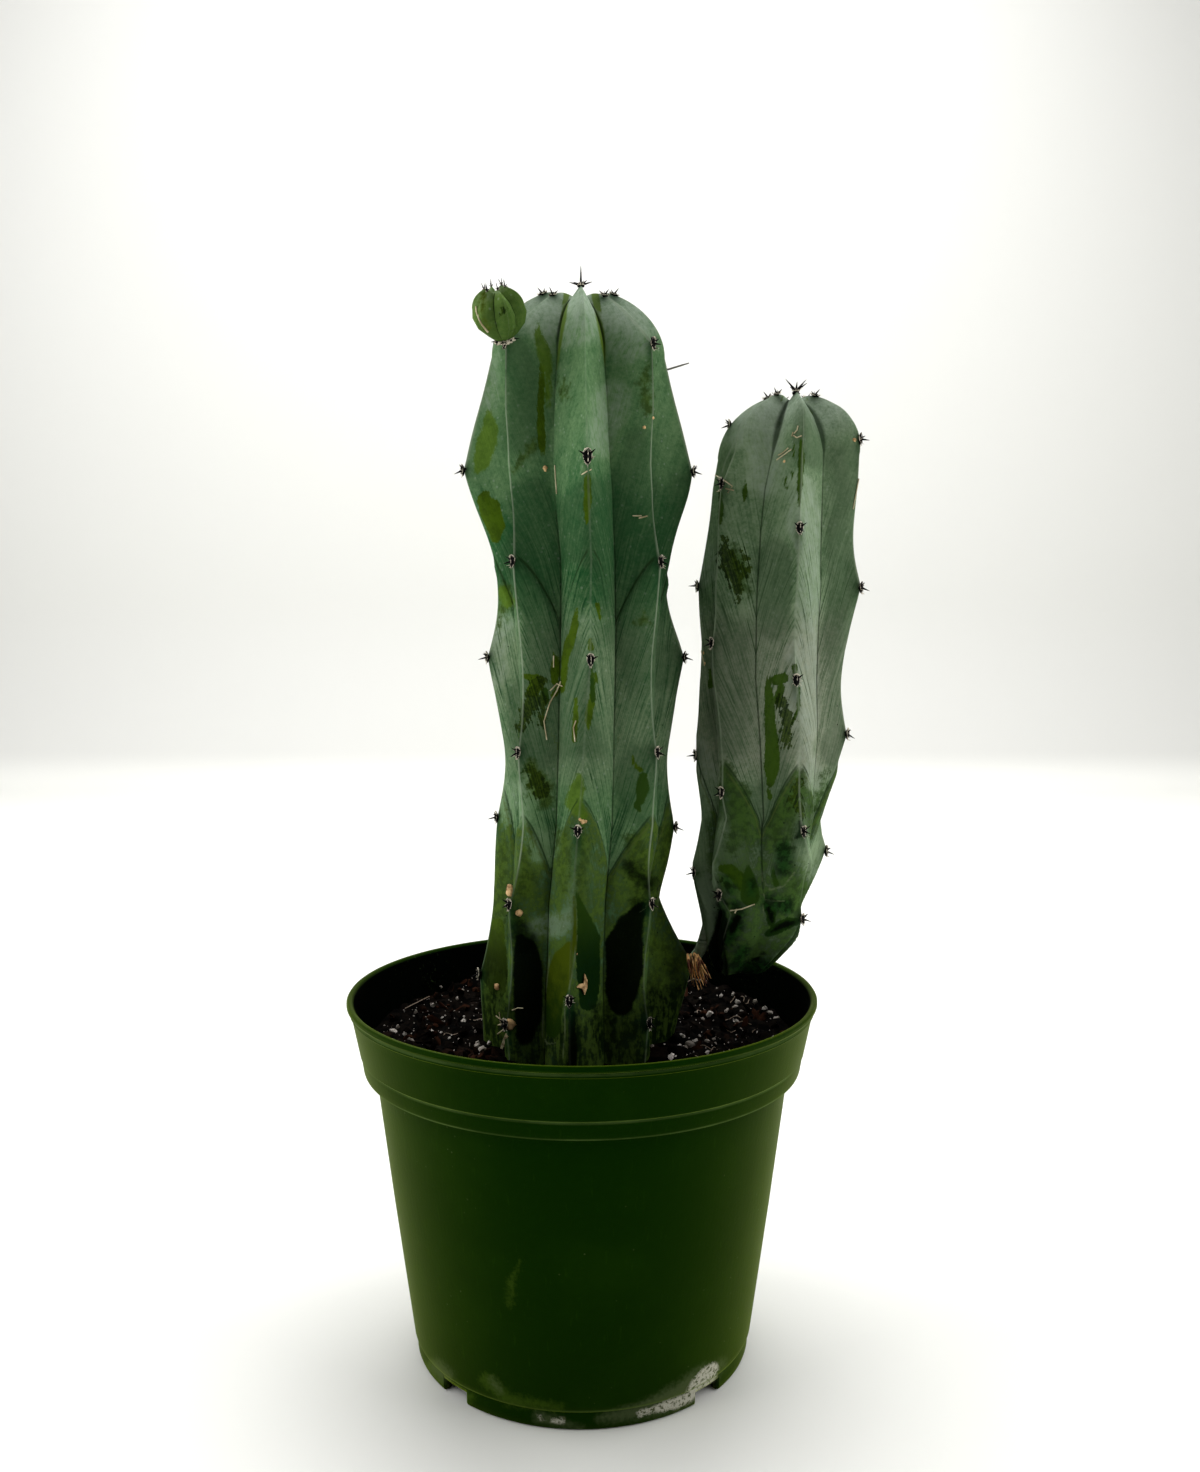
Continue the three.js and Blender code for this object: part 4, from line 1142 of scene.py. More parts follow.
    # Wet marks, nearly black, partly painted shade
    wet_and_shade_mark, colour = painted("wet", fine.swing(3) + mottle.swing(5), 1.4, -1.8, WET_AND_SHADE_BLACK, 0.97)

    # Pits, the folds with painted shade in their lines and a painted highlight on the swell below,
    # painted shade in the furrows and under the cushions, painted highlights on the crests, and the
    # chalk lines, partly painted highlights
    pits = at.spots(210).rises(0.085, 0.045) * cloud.rises(0.50, 0.56) * height.rises(280, 240)
    colour = pits.blend(colour, PIT_BLACK, 0.9)
    # Painted shade in the fold lines
    fold_line = fold.between(-0.9, 0.0, 0.2, 1.2) * across.rises(0.06, 0.2)
    colour = fold_line.blend(colour, FOLD_SHADE, 0.7)
    # Painted highlight on the swell below each fold
    fold_highlight = fold.between(1.6, 2.4, 2.6, 3.6) * across.rises(0.1, 0.3) * height.rises(235, 210)
    colour = fold_highlight.blend(colour, FOLD_HIGHLIGHT, 0.45)
    # Painted shade in the furrows
    furrow = across.rises(0.972, 0.992) * at.value_of("cleft")
    colour = furrow.blend(colour, FURROW_SHADE_DARK, 0.8)
    # Painted shadow under the cushions
    colour = at.value_of("under").blend(colour, shaded(flesh, 0.5), 0.8)
    # Painted highlight along the crests, weaker low down
    crest = across.rises(0.10, 0.025) * at.value_of("edge") * mottle.rises(0.15, 0.45)
    crest = crest * (1 - height.rises(185, 160) * 0.7)
    colour = crest.blend(colour, CREST_HIGHLIGHT, 0.8)
    # The chalk lines, partly painted highlights along the crests
    chalk_and_highlight_tone = height.rises(200, 250).blend(*CHALK_AND_HIGHLIGHT)
    _, colour = painted("chalk", fine.swing(1.5), 0.6, -0.5, chalk_and_highlight_tone, 0.55)

    relief = vein * 0.8 + fine * 0.3 + mottle * 0.3 - rub_mark * 0.4 - fold_line * 1.5 - furrow * 0.8
    bare = rub_mark * (1 - wet_and_shade_mark)
    feed(shader, Base_Color=colour, Roughness=0.62 - bare * 0.2, Normal=bump(relief, 0.35, 0.0005))
    shader.inputs["IOR"].default_value = 1.07
    return material


MARK_KINDS = ("rubbed", "lit", "sodden", "speckled", "worn", "wet", "tongue", "murk", "fresh", "chalk")
VEIN_FALL = 42
UNDER_DROP = 9
UNDER_RISE = 2.6
UNDER_WIDTH = 2.2


def stem_piece(name, grid, values, material, slot, marks, cushions):
    """A stem's skin as a mesh with the numbers that its material reads.

    A painted shadow darkens the skin under each cushion by e^-(drop^2 + aside^2), each as a share of its
    reach.
    """
    piece = new_piece(name, grid_points(grid), grid_faces(*grid.shape[:2]), material, slot, 70)
    normals = facing(grid)
    values = dict(values, fall=values["height"] + VEIN_FALL * values["across"] ** 1.5)
    for kind in MARK_KINDS:
        values[kind] = mark_field(grid, normals, marks.get(kind, []))
    # The broad strokes of painted light and painted shade
    values["tone"] = painted_light_and_shade_field(grid, normals, marks.get("painted_light", []), marks.get("painted_shade", []))
    values["under"] = np.zeros(grid.shape[:2])
    for at in cushions:
        offset = grid - at
        aside = np.hypot(offset[..., 0], offset[..., 1])
        drop = np.where(offset[..., 2] < 0, -offset[..., 2] / UNDER_DROP, offset[..., 2] / UNDER_RISE)
        shadow = np.exp(-(drop**2) - (aside / UNDER_WIDTH) ** 2)
        values["under"] = np.maximum(values["under"], shadow)
    for key, value in values.items():
        give_values(piece, key, grid_points(value[..., None]))
    return piece


MAIN_BLOOM = (0.155, 0.265, 0.120)
MAIN_FLESH = (0.012, 0.078, 0.022)
RUBBED_OLIVE = (0.055, 0.105, 0.002)
WORN_OLIVE = (0.060, 0.110, 0.012)
# The murky marks' olive, partly painted shade
MURK_AND_SHADE_OLIVE = (0.008, 0.020, 0.002)

main_grid, main_values = ribbed_stem(MAIN_STEM, MAIN_ROWS, MAIN_COLUMNS)
main_skin = cactus_skin("blue_green_skin", MAIN_BLOOM, MAIN_FLESH, RUBBED_OLIVE, WORN_OLIVE, MURK_AND_SHADE_OLIVE)


# The main stem's spine cushions. Each is a shield-shaped ring of pale felt round a black pit, with
# one spine that points down and out, two that spread sideways, and shorter ones among the felt.
SPINE_RADIUS = 0.42
SPINE_FAN = [(1, -0.35, 0, 3.6), (0.5, 0.6, 0.85, 3.0), (0.5, 0.6, -0.85, 3.0)]
SMALL_FAN = [(0.8, 0.5, 0.1, 1.7), (0.7, -0.7, 0.55, 1.5), (0.7, -0.7, -0.55, 1.5)]
BARE_SPOTS = [(2, 136)]
FELT_POINTS = 13
FELT_HAIRS = 7
PIT_SHAPE = (0.62, 1.16, 1.9)
BIG_CUSHION = (0, 309)
BIG_SIZE = 1.2
CROWN_SIZE = 0.8
CROWN_SPLAY = 0.35
OLD_SPINE_RIB = 3
OLD_SPINE_LENGTH = 17
TIP_SPINE_LENGTH = 6.5
UPWARD = np.array([0.0, 0, 1])


def spine(at, direction, length, radius=SPINE_RADIUS, sides=6):
    """A slim tapered spine: its radius falls as (1 - share)^0.7 to the point."""
    share = np.array([-0.3, 0, 0.3, 0.6, 0.85, 1])
    direction = direction / np.linalg.norm(direction)
    path = at + direction * share[:, None] * length
    return tube(path, radius * (1 - np.maximum(share, 0)) ** 0.7 + 0.03, sides)


def cushion(at, out, up, size=1.0):
    """One cushion as two lists of shapes: the felt, and the dark pit with its spines."""
    side = np.cross(up, out)
    turn = np.linspace(0, 2 * np.pi, FELT_POINTS)
    wide = 1.5 * np.sin(turn) * (0.72 + 0.28 * np.cos(turn))
    tall = 2.2 * np.cos(turn) - 0.3
    raised = 0.6 - 0.36 * wide**2
    rim = at + size * (wide[:, None] * side + tall[:, None] * up + raised[:, None] * out)
    thick = 0.17 + 0.08 * np.cos(turn) + random.uniform(-0.04, 0.04, FELT_POINTS)
    felt = [tube(rim, thick * size, 5)]
    middle = at + size * (np.array([[1.4], [0.2], [-1.5]]) * up + 0.92 * out + 0.1 * side)
    felt.append(tube(middle, [0.12 * size] * 3, 4))
    for _ in range(FELT_HAIRS):
        start = random.uniform(0, 2 * np.pi)
        foot = at + size * (1.1 * np.sin(start) * side + (1.7 * np.cos(start) - 0.3) * up + 0.4 * out)
        lean = out + 0.9 * np.sin(start) * side + 0.6 * np.cos(start) * up + random.normal(0, 0.25, 3)
        felt.append(spine(foot, lean, random.uniform(0.7, 1.3) * size, 0.11 * size, 3))
    pit_points = FINE_BALL[0] * PIT_SHAPE
    axes = np.array([out, side, up])
    dark = [(at + size * (0.25 * out - 0.25 * up) + size * pit_points @ axes, FINE_BALL[1])]
    for out_share, up_share, side_share, length in SPINE_FAN:
        bent = random.normal(0, 0.10, 3)
        way = out_share * out + up_share * up + side_share * side + bent
        dark.append(spine(at, way, length * size, SPINE_RADIUS * size))
    for out_share, up_share, side_share, length in SMALL_FAN:
        way = out_share * out + up_share * up + side_share * side + random.normal(0, 0.2, 3)
        dark.append(spine(at, way, length * size * random.uniform(0.8, 1.3), 0.22 * size, 4))
    return felt, dark


def crown_height(stem, rib):
    """The height along a rib where it begins to dip into the growing tip."""
    share = np.degrees(np.arccos(stem["crown_tip"] / rib["crest"][-1][1])) / 90
    return stem["shoulder"] + (stem["top"] - stem["shoulder"]) * share


def crown_frame(away):
    """The out and up of a crown cushion: out is straight up plus the splay x away, made one long."""
    out = UPWARD + CROWN_SPLAY * away
    out = out / np.linalg.norm(out)
    up = out * (away @ out) - away
    return out, up / np.linalg.norm(up)


def stem_cushions(stem, bare_spots=()):
    """Felt and dark shapes of all cushions down the ribs and at the crown, and their places."""
    felt, dark, places = [], [], []
    for index, rib in enumerate(stem["ribs"]):
        spots = [
            (level, BIG_SIZE if (index, level) == BIG_CUSHION else 1.0)
            for level in rib["levels"] if level > 0 and (index, level) not in bare_spots
        ]
        spots.append((crown_height(stem, rib), 1.0 if index == 0 else CROWN_SIZE))
        for level, size in spots:
            away = outward(rib_angle(rib, np.float64(level)))
            out, up = away, UPWARD
            if level > stem["shoulder"] + 10:
                out, up = crown_frame(away)
            at = crest_place(stem, rib, level)
            some_felt, some_dark = cushion(at, out, up, size)
            felt += some_felt
            dark += some_dark
            places.append(at)
    return felt, dark, places


def grained(name, noise, rise, colours, roughness, relief, stretch=(1, 1, 1)):
    """A material whose noise runs its colour from the first to the second and roughens it."""
    material, shader, at = new_material(name)
    tone = at.stretched(stretch).noise(*noise)
    colour = tone.rises(*rise).blend(*colours)
    feed(shader, Base_Color=colour, Roughness=roughness, Normal=bump(tone, *relief))
    return material, shader


FELT_CREAM = ((0.05, 0.04, 0.03), (0.66, 0.60, 0.47))
SPINE_BLACK = ((0.0010, 0.0010, 0.0012), (0.008, 0.007, 0.007))
felt_cream, _ = grained("cream_felt", (900, 3), (0.38, 0.54), FELT_CREAM, 0.9, (0.5, 0.0002))
spine_black, spine_shader = grained(
    "black_spine", (420, 2), (0.55, 0.75), SPINE_BLACK, 0.55, (0.3, 0.0001)
)
spine_shader.inputs["IOR"].default_value = 1.15

grey_horn, horn_shader, horn_at = new_material("old_grey_spine")
horn_tone = horn_at.stretched((1, 8, 8)).noise(300, 2)
horn_colour = horn_tone.blend((0.045, 0.038, 0.032), (0.22, 0.20, 0.17))
feed(horn_shader, Base_Color=horn_colour, Roughness=0.6, Normal=bump(horn_tone, 0.3, 0.0001))

felt, dark, main_places = stem_cushions(MAIN_STEM, BARE_SPOTS)
main_body = stem_piece(
    "main_stem_skin", main_grid, main_values, main_skin, "stem_skin", MAIN_MARKS, main_places
)
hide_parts("main_stem")
front_rib = MAIN_STEM["ribs"][0]
tip_seat = crest_place(MAIN_STEM, front_rib, crown_height(MAIN_STEM, front_rib))
for way, length in (((0, 0, 1), TIP_SPINE_LENGTH), ((-1, 0, 0.25), 4), ((1, 0, 0.3), 4)):
    dark.append(spine(tip_seat, np.array(way), length))
main_felt = new_piece("main_felt", *joined(felt), felt_cream, "stem_skin", 60)
main_spines = new_piece("main_spines", *joined(dark), spine_black, "stem_skin", 60)
old_seat = crest_place(MAIN_STEM, MAIN_STEM["ribs"][OLD_SPINE_RIB], MAIN_STEM["shoulder"])
old_way = np.array([
    (-1, 0, -0.26), (4, 0, 1.04), (10, 0, 2.5), (14, 0, 3.7), (OLD_SPINE_LENGTH, 0, 4.6),
])
old_spine = tube(old_seat - (0, 0, 1.6) + old_way, [0.42, 0.40, 0.38, 0.34, 0.22], 8)
main_old_spine = new_piece("main_old_spine", *old_spine, grey_horn, "stem_skin", 60)
for piece in (main_felt, main_spines, main_old_spine):
    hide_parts("main_stem")


# Small things on the main stem's skin: corky scars, flecks and dry straw, each laid on the visible
# skin under the photo's pixel.
MAIN_SCARS = [
    (509.5, 887, 4.0), (510, 893, 4.6), (520, 912, 3.4), (498, 987, 3.6), (511, 1024, 5.2),
    (544, 467, 2.2), (547, 470, 1.4), (637, 421, 1.8), (645, 428, 1.6), (653, 417, 1.4),
    (584, 821, 2.2), (580, 820, 1.6), (586, 822, 1.6), (577, 953, 0.8),
]
MAIN_STRAWS = [
    [(556, 465), (556.5, 478), (556, 493)], [(583, 475), (586.5, 472.6), (590, 470)],
    [(633, 516), (637, 515), (642, 515)], [(547, 740), (545, 722), (549, 703), (556, 690), (561, 682)],
    [(549, 690), (556, 684), (563, 686)], [(575, 741), (574, 728), (577, 720)],
    [(512, 1010), (517, 1008), (523, 1008)], [(640, 518), (648, 516)], [(554, 655), (555, 668)],
    [(497, 1016), (504, 1022)], [(498, 1024), (507, 1021)], [(499, 1033), (508, 1027)],
    [(500, 1012), (502, 1026)],
]
FLAKE_SEEN = [
    (585, 974), (587, 980), (586, 987), (583, 995), (581, 989), (577, 988), (578, 985), (583, 982),
]
THICK_STRAW_SEEN = [(507, 1036), (504, 1045), (501, 1056), (499, 1063)]
FLAKE_THICKNESS = 0.5


def on_skin(grid, across, down):
    """The front-facing grid point that a photo pixel shows, and the skin's direction there."""
    seen_across, seen_down = photo_place(grid)
    normals = facing(grid)
    away = np.linalg.norm(grid - EYE, axis=-1)
    hidden = np.sum(normals * (EYE - grid), axis=-1) <= 0
    score = np.hypot(seen_across - across, seen_down - down) + away * 0.02 + 1e4 * hidden
    best = np.unravel_index(np.argmin(score), score.shape)
    return grid[best], normals[best]


def laid_straw(grid, pixels, radius=0.22, lift=0.25):
    """A thin dry straw that lies on the skin along a chain of photo pixels."""
    spots = [on_skin(grid, *pixel) for pixel in pixels]
    return tube([at + normal * lift for at, normal in spots], [radius] * len(spots), 5)


def skin_scar(grid, across, down, half_width):
    """A round corky scab: a dented half ball, half sunk in the skin."""
    at, normal = on_skin(grid, across, down)
    points, faces = lump(np.zeros(3), half_width / PIXELS_PER_MM, (1, 1, 1), 0.12)
    points = points - 0.55 * np.outer(points @ normal, normal)
    return points + at, faces


def skin_flake(grid, pixels, thickness):
    """A thin flake on the skin whose corners cover a chain of photo pixels: two fans and a rim."""
    spots = [on_skin(grid, *pixel) for pixel in pixels]
    low = np.array([at - normal * 0.1 for at, normal in spots])
    high = np.array([at + normal * thickness for at, normal in spots])
    count = len(pixels)
    points = np.concatenate([low, high, [low.mean(axis=0)], [high.mean(axis=0) + (0, -0.2, 0)]])
    faces = []
    for first in range(count):
        after = (first + 1) % count
        faces += [(first, after, 2 * count), (first + count, 2 * count + 1, after + count)]
        faces.append((first, first + count, after + count, after))
    return points, faces


CORK_TAN = ((0.20, 0.095, 0.025), (0.80, 0.52, 0.24))
STRAW_PALE = ((0.30, 0.24, 0.12), (0.66, 0.60, 0.38))
cork_tan, _ = grained("tan_cork", (420, 4, 0.6), (0.32, 0.62), CORK_TAN, 0.8, (0.6, 0.0004))
straw_pale, _ = grained("dry_straw", (260, 2), (0.3, 0.7), STRAW_PALE, 0.7, (0.3, 0.0002))

main_scars = [skin_scar(main_grid, *scar) for scar in MAIN_SCARS]
main_scars.append(skin_flake(main_grid, FLAKE_SEEN, FLAKE_THICKNESS))
new_piece("main_scars", *joined(main_scars), cork_tan, "stem_skin", 60)
main_straws = [laid_straw(main_grid, pixels) for pixels in MAIN_STRAWS]
main_straws.append(laid_straw(main_grid, THICK_STRAW_SEEN, 0.85, 0.1))
new_piece("main_straws", *joined(main_straws), straw_pale, "stem_skin", 60)


# The side stem. A younger, thinner stem of six ribs that leans out over the rim. It grew from the
# flared foot of the main stem's right rib and narrows to a corky neck there.
SIDE_CREST = [
    (131, 0), (133, 5), (137, 8.4), (147, 16.2), (156, 18), (164, 20.2), (172, 24), (190, 22.8),
    (217, 26.6), (250, 26.6), (270, 28.6), (304, 26.4), (314, 25),
]
FRONT_LOW_CREST = [
    (131, 0), (135, 3), (139.5, 7), (145.4, 13), (150, 17.5), (153.5, 20), (160, 20.3), (168, 22),
    (176, 23.6),
] + SIDE_CREST[7:]
RIGHT_LOW_CREST = [
    (131, 0), (135, 3), (139.5, 6), (145.4, 11), (150, 13.5), (156, 14.5), (163, 15), (167, 16.5),
    (169.3, 19.2), (171.4, 23), (173, 25), (176, 25.6), (181, 24),
] + SIDE_CREST[7:]
FRONT_TWIST = [
    (153.5, 50), (162, 50), (168, 45), (174, 41), (181, 29), (187, 21), (238, 1), (288, -4), (314, -5),
]
SIDE_TWIST = [(156, 34), (186, 20), (238, 1), (288, -4), (314, -5)]
LEFT_TWIST = [
    (131, 18), (147, 22), (156, 32), (164, 17), (174, 10), (190, 18), (238, 1), (288, -4), (302, -3),
    (314, 8), (330, 16),
]
SIDE_RIB = {
    "crest": SIDE_CREST, "dip": [(150, 1.4), (200, 2.8), (314, 2.6)], "sway": SIDE_TWIST,
    "rise": 21.8, "slope": 0.9, "creases": [(209.5, 24)],
}
SIDE_STEM = {
    "foot": 131, "shoulder": 314, "top": 336.5, "crown_dip": 3, "crown_tip": 8, "fullness": 0.7,
    "centre": [
        (131, 56.6, 6), (147, 59.6, 6), (168, 61.4, 6), (190, 64.7, 6), (217, 66.6, 6),
        (262, 68.4, 6), (330, 72.6, 6),
    ],
    "furrow": [
        (131, 0), (133, 4.3), (137, 7.4), (147, 13.2), (172, 17), (217, 19), (270, 19.5), (314, 17),
    ],
    "ribs": [
        dict(
            SIDE_RIB, angle=8, levels=(153.5, 186, 238, 288), rise=22.5, edge=0.5, crest=FRONT_LOW_CREST,
            sway=FRONT_TWIST,
        ),
        dict(SIDE_RIB, angle=74, levels=(175, 218, 269, 317), crest=RIGHT_LOW_CREST),
        dict(SIDE_RIB, angle=136, levels=(163, 206, 255, 306)),
        dict(SIDE_RIB, angle=197, levels=(182, 231, 281)),
        dict(SIDE_RIB, angle=257, levels=(169, 210, 270, 322), dip=[(150, 0.8), (151, 0.8)]),
        dict(SIDE_RIB, angle=299, levels=(163, 199, 250, 304), sway=LEFT_TWIST),
    ],
    # How strong the painted shade in the side stem's furrows is, by height
    "chevron": 26, "cleft": [(131, 0), (158, 0), (168, 0.9), (290, 0.9), (310, 0.6), (320, 1)],
}
SIDE_ROWS = [(131, 137, 6), (137, 314, 240), (314, 336.5, 50)]
SIDE_COLUMNS = 34
SIDE_MARKS = {
    "rubbed": [
        [(800.8, 440, 2), (801.6, 459, 3), (800, 481.6, 3), (799, 507, 1)],
        [(794.4, 440, 1), (793.6, 456, 1)], [(785.7, 478, 1.5), (786.5, 488, 1.5)],
        [(792, 472, 1.2), (792, 480, 1)], [(745.8, 480, 1), (745, 491, 2.2), (744.2, 501, 1)],
        [(720.3, 488, 1), (721, 507, 3), (720, 523, 2)], [(794.4, 667, 2.5), (795, 673, 2)],
        [(784, 678, 5), (777.7, 679.7, 6)],
        [(768, 676, 1), (768, 689, 4), (769.7, 708, 5), (771, 730.7, 6), (772, 753, 8), (772, 769, 8),
         (770.5, 783, 4)], [(780.9, 688, 4), (776, 700, 4)],
        [(799, 689, 2), (798.4, 708, 2), (792, 724, 2)], [(710, 670, 1.5), (710.7, 686, 3)],
        [(768, 790, 2), (770, 797, 3)], [(722, 868, 4), (730, 870, 6), (738, 878, 7), (742, 888, 4)],
    ],
    # Sodden marks under the side stem, partly painted shade
    "sodden": [
        [(747.5, 865, 1.5), (749, 878, 6), (750, 890, 9), (750, 896, 10)],
        [(772.5, 862, 0.6), (773.5, 876, 2), (776, 884, 3)],
        [(765, 905, 3), (771, 912, 5), (771, 922, 4)],
        [(798, 921, 3), (788, 923, 6), (778, 928, 6), (768, 934, 3)],
    ],
    "speckled": [
        [(724.3, 540.6, 4), (726.7, 556.5, 8), (733, 569, 10), (736, 582, 9), (738.6, 599.6, 3)],
        [(742.6, 553, 4), (748, 565, 4), (744, 575, 4)], [(724, 880, 3), (728, 886, 4)],
        [(780, 700, 5), (788, 720, 7), (784, 745, 6)], [(800, 780, 4), (795, 800, 6), (802, 815, 5)],
    ],
    "worn": [
        [(733, 548, 6), (742, 566, 8), (745, 590, 5)],
        [(726, 768, 6), (740, 795, 11), (738, 830, 12), (730, 850, 8)],
        [(802, 775, 6), (790, 800, 12), (780, 830, 13), (785, 850, 8)],
        [(824, 775, 5), (818, 795, 7), (814, 810, 4)], [(800, 890, 12), (790, 905, 10)],
    ],
    # Wet marks under the side stem and by its neck, partly painted shade
    "wet": [
        [(722, 913, 4), (722, 928, 7), (716, 944, 7), (714, 958, 9), (714, 968, 9)],
        [(738, 917, 3), (732, 930, 4)], [(722, 900, 2), (728, 905, 2)], [(752, 960, 2), (759, 958, 2)],
        [(762, 953, 2), (766, 953, 1)], [(800, 822, 2), (803, 832, 4), (796, 838, 2)],
        [(767, 907, 1), (771, 914, 3), (772, 921, 2)],
        [(796, 922, 1), (787, 924, 4), (778, 928, 3), (771, 932, 1)],
    ],
    # Murky marks under the side stem, partly painted shade
    "murk": [
        [(720, 905, 3), (722, 925, 5)], [(735, 905, 5), (740, 912, 5)], [(726, 880, 4), (732, 890, 4)],
        [(784, 850, 8), (784, 868, 8)], [(735, 925, 8), (728, 940, 6)], [(745, 972, 12), (765, 968, 8)],
        [(768, 902, 7), (786, 906, 7)], [(744, 950, 6), (735, 965, 6)], [(752, 882, 3), (752, 892, 4)],
    ],
    "fresh": [
        [(783, 395, 0.8), (779, 412, 1.6), (775, 430, 0.8)], [(807, 398, 0.8), (812, 415, 1.2)],
    ],
    # Chalk lines on the side stem, partly painted highlights along its crests
    "chalk": [
        [(756, 399, 0.9), (744, 420, 0.9), (733, 445, 0.9), (725, 462, 0.8), (722, 473, 0.7)],
        [(760, 860, 0.8), (762, 880, 0.8), (770, 890, 0.8), (784, 886, 0.8), (795, 872, 0.8)],
        [(764, 900, 0.7), (785, 901, 0.7)], [(764, 893, 0.6), (763, 915, 0.6)],
    ],
    # Painted light on the side stem
    "painted_light": [
        [(806, 480, 4), (808, 530, 5), (808, 600, 5)], [(805, 620, 5), (806, 700, 5), (808, 780, 4)],
        [(812, 850, 5), (808, 870, 4)], [(703, 790, 8), (702, 830, 9), (704, 870, 8), (708, 900, 6)],
        [(710, 912, 5), (708, 928, 4), (703, 942, 4), (698, 950, 3)], [(728, 942, 4), (728, 962, 4)],
        [(770, 400, 8), (766, 440, 8), (764, 480, 6)],
        [(808, 520, 5), (806, 600, 6), (806, 700, 5), (808, 760, 4)], [(750, 405, 4), (735, 430, 4)],
        [(830, 430, 8), (838, 500, 6)], [(838, 640, 8), (830, 720, 8)], [(752, 920, 4), (746, 930, 3)],
        [(702, 560, 4), (700, 700, 4), (703, 800, 4)],
    ],
    # Painted shade on the side stem
    "painted_shade": [
        [(732, 640, 8), (728, 740, 8)], [(836, 640, 10), (832, 700, 10), (826, 750, 8)],
        [(806, 815, 4), (806, 825, 4)],
        [(826, 430, 6), (834, 500, 10), (834, 580, 10), (836, 660, 10), (832, 740, 8)],
        [(850, 460, 8), (852, 560, 8), (846, 640, 8)], [(775, 560, 8), (776, 620, 8)],
        [(770, 850, 12), (772, 900, 12)], [(738, 860, 10), (740, 920, 12)],
        [(760, 940, 14), (745, 955, 12)], [(808, 420, 6), (810, 455, 6)],
        [(785, 560, 6), (788, 620, 7)], [(783, 850, 7), (784, 875, 7)], [(762, 800, 5), (765, 840, 6)],
        [(722, 800, 6), (724, 850, 6)], [(790, 740, 6), (785, 790, 8)], [(740, 950, 8), (765, 945, 8)],
        [(712, 600, 3), (712, 720, 3)],
    ],
}

SIDE_BLOOM = (0.225, 0.310, 0.180)
SIDE_FLESH = (0.038, 0.095, 0.034)
SIDE_OLIVE = (0.034, 0.078, 0.003)
SIDE_WORN_GREEN = (0.044, 0.095, 0.016)
# The side stem's murky green, partly painted shade
SIDE_MURK_AND_SHADE_GREEN = (0.010, 0.050, 0.008)
side_grid, side_values = ribbed_stem(SIDE_STEM, SIDE_ROWS, SIDE_COLUMNS, 0.8)
side_skin = cactus_skin(
    "side_blue_green_skin", SIDE_BLOOM, SIDE_FLESH, SIDE_OLIVE, SIDE_WORN_GREEN, SIDE_MURK_AND_SHADE_GREEN,
    dull=0.08, moss_height=118, top=338,
)
felt, dark, side_places = stem_cushions(SIDE_STEM)
side_body = stem_piece(
    "side_stem_skin", side_grid, side_values, side_skin, "side_skin", SIDE_MARKS, side_places
)


# The side stem's neck. A slim bare stalk, bent as in the photo, that leads from the side stem to
# the main stem's right rib. It is listed as pixels across and down, and a radius.
NECK_SEEN = [
    (690, 960, 1.7), (695, 957, 2.0), (700, 951, 2.0), (704, 940, 2.1), (708, 927, 2.2), (711, 913, 2.8),
    (714, 900, 3.6), (718, 886, 4.4),
]
NECK_DEPTH = 3.0
NECK_ROWS = 48
NECK_SIDES = 40
NECK_MOSS_CLEAR = 60


def on_upright(across, down, y):
    """The point of the upright plane at y that a photo pixel shows."""
    ray = pixel_ray(across, down)
    return EYE + ray * (y - EYE[1]) / ray[1]


neck_knots = range(len(NECK_SEEN))
neck_rows = np.linspace(0, len(NECK_SEEN) - 1, NECK_ROWS)
neck_spots = np.array([on_upright(across, down, NECK_DEPTH) for across, down, _ in NECK_SEEN])
neck_path = np.stack([np.interp(neck_rows, neck_knots, column) for column in neck_spots.T], axis=1)
neck_radii = np.interp(neck_rows, neck_knots, [radius for _, _, radius in NECK_SEEN])
neck_points, neck_faces = tube(neck_path, neck_radii, NECK_SIDES)
side_neck = new_piece("side_neck", neck_points, neck_faces, side_skin, "side_skin", 60)
level = neck_points[:, 2]
neck_values = {"fall": level, "height": level + NECK_MOSS_CLEAR, "across": 0 * level + 0.5}
neck_values["fold"] = 0 * level - FAR_OFF
neck_values.update({kind: 0 * level + FAR_OFF for kind in MARK_KINDS})
for key in ("under", "edge", "cleft"):
    neck_values[key] = 0 * level
# The whole stalk takes the full painted light of the pale strokes
neck_values["tone"] = 1 + 0 * level
neck_values["worn"] = 3 + 0 * level
for key, value in neck_values.items():
    give_values(side_neck, key, value)
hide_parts("side_stem")
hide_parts("side_stem")

front_rib = SIDE_STEM["ribs"][0]
tip_seat = crest_place(SIDE_STEM, front_rib, crown_height(SIDE_STEM, front_rib))
for across, lean_out, length in ((-0.9, 0.0, 5.5), (0.9, 0.0, 5.2), (1.4, 0.2, 4.6)):
    dark.append(spine(tip_seat, np.array([across, -lean_out, 1.0]), length))
side_felt = new_piece("side_felt", *joined(felt), felt_cream, "side_skin", 60)
side_spines = new_piece("side_spines", *joined(dark), spine_black, "side_skin", 60)
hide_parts("side_stem")
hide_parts("side_stem")


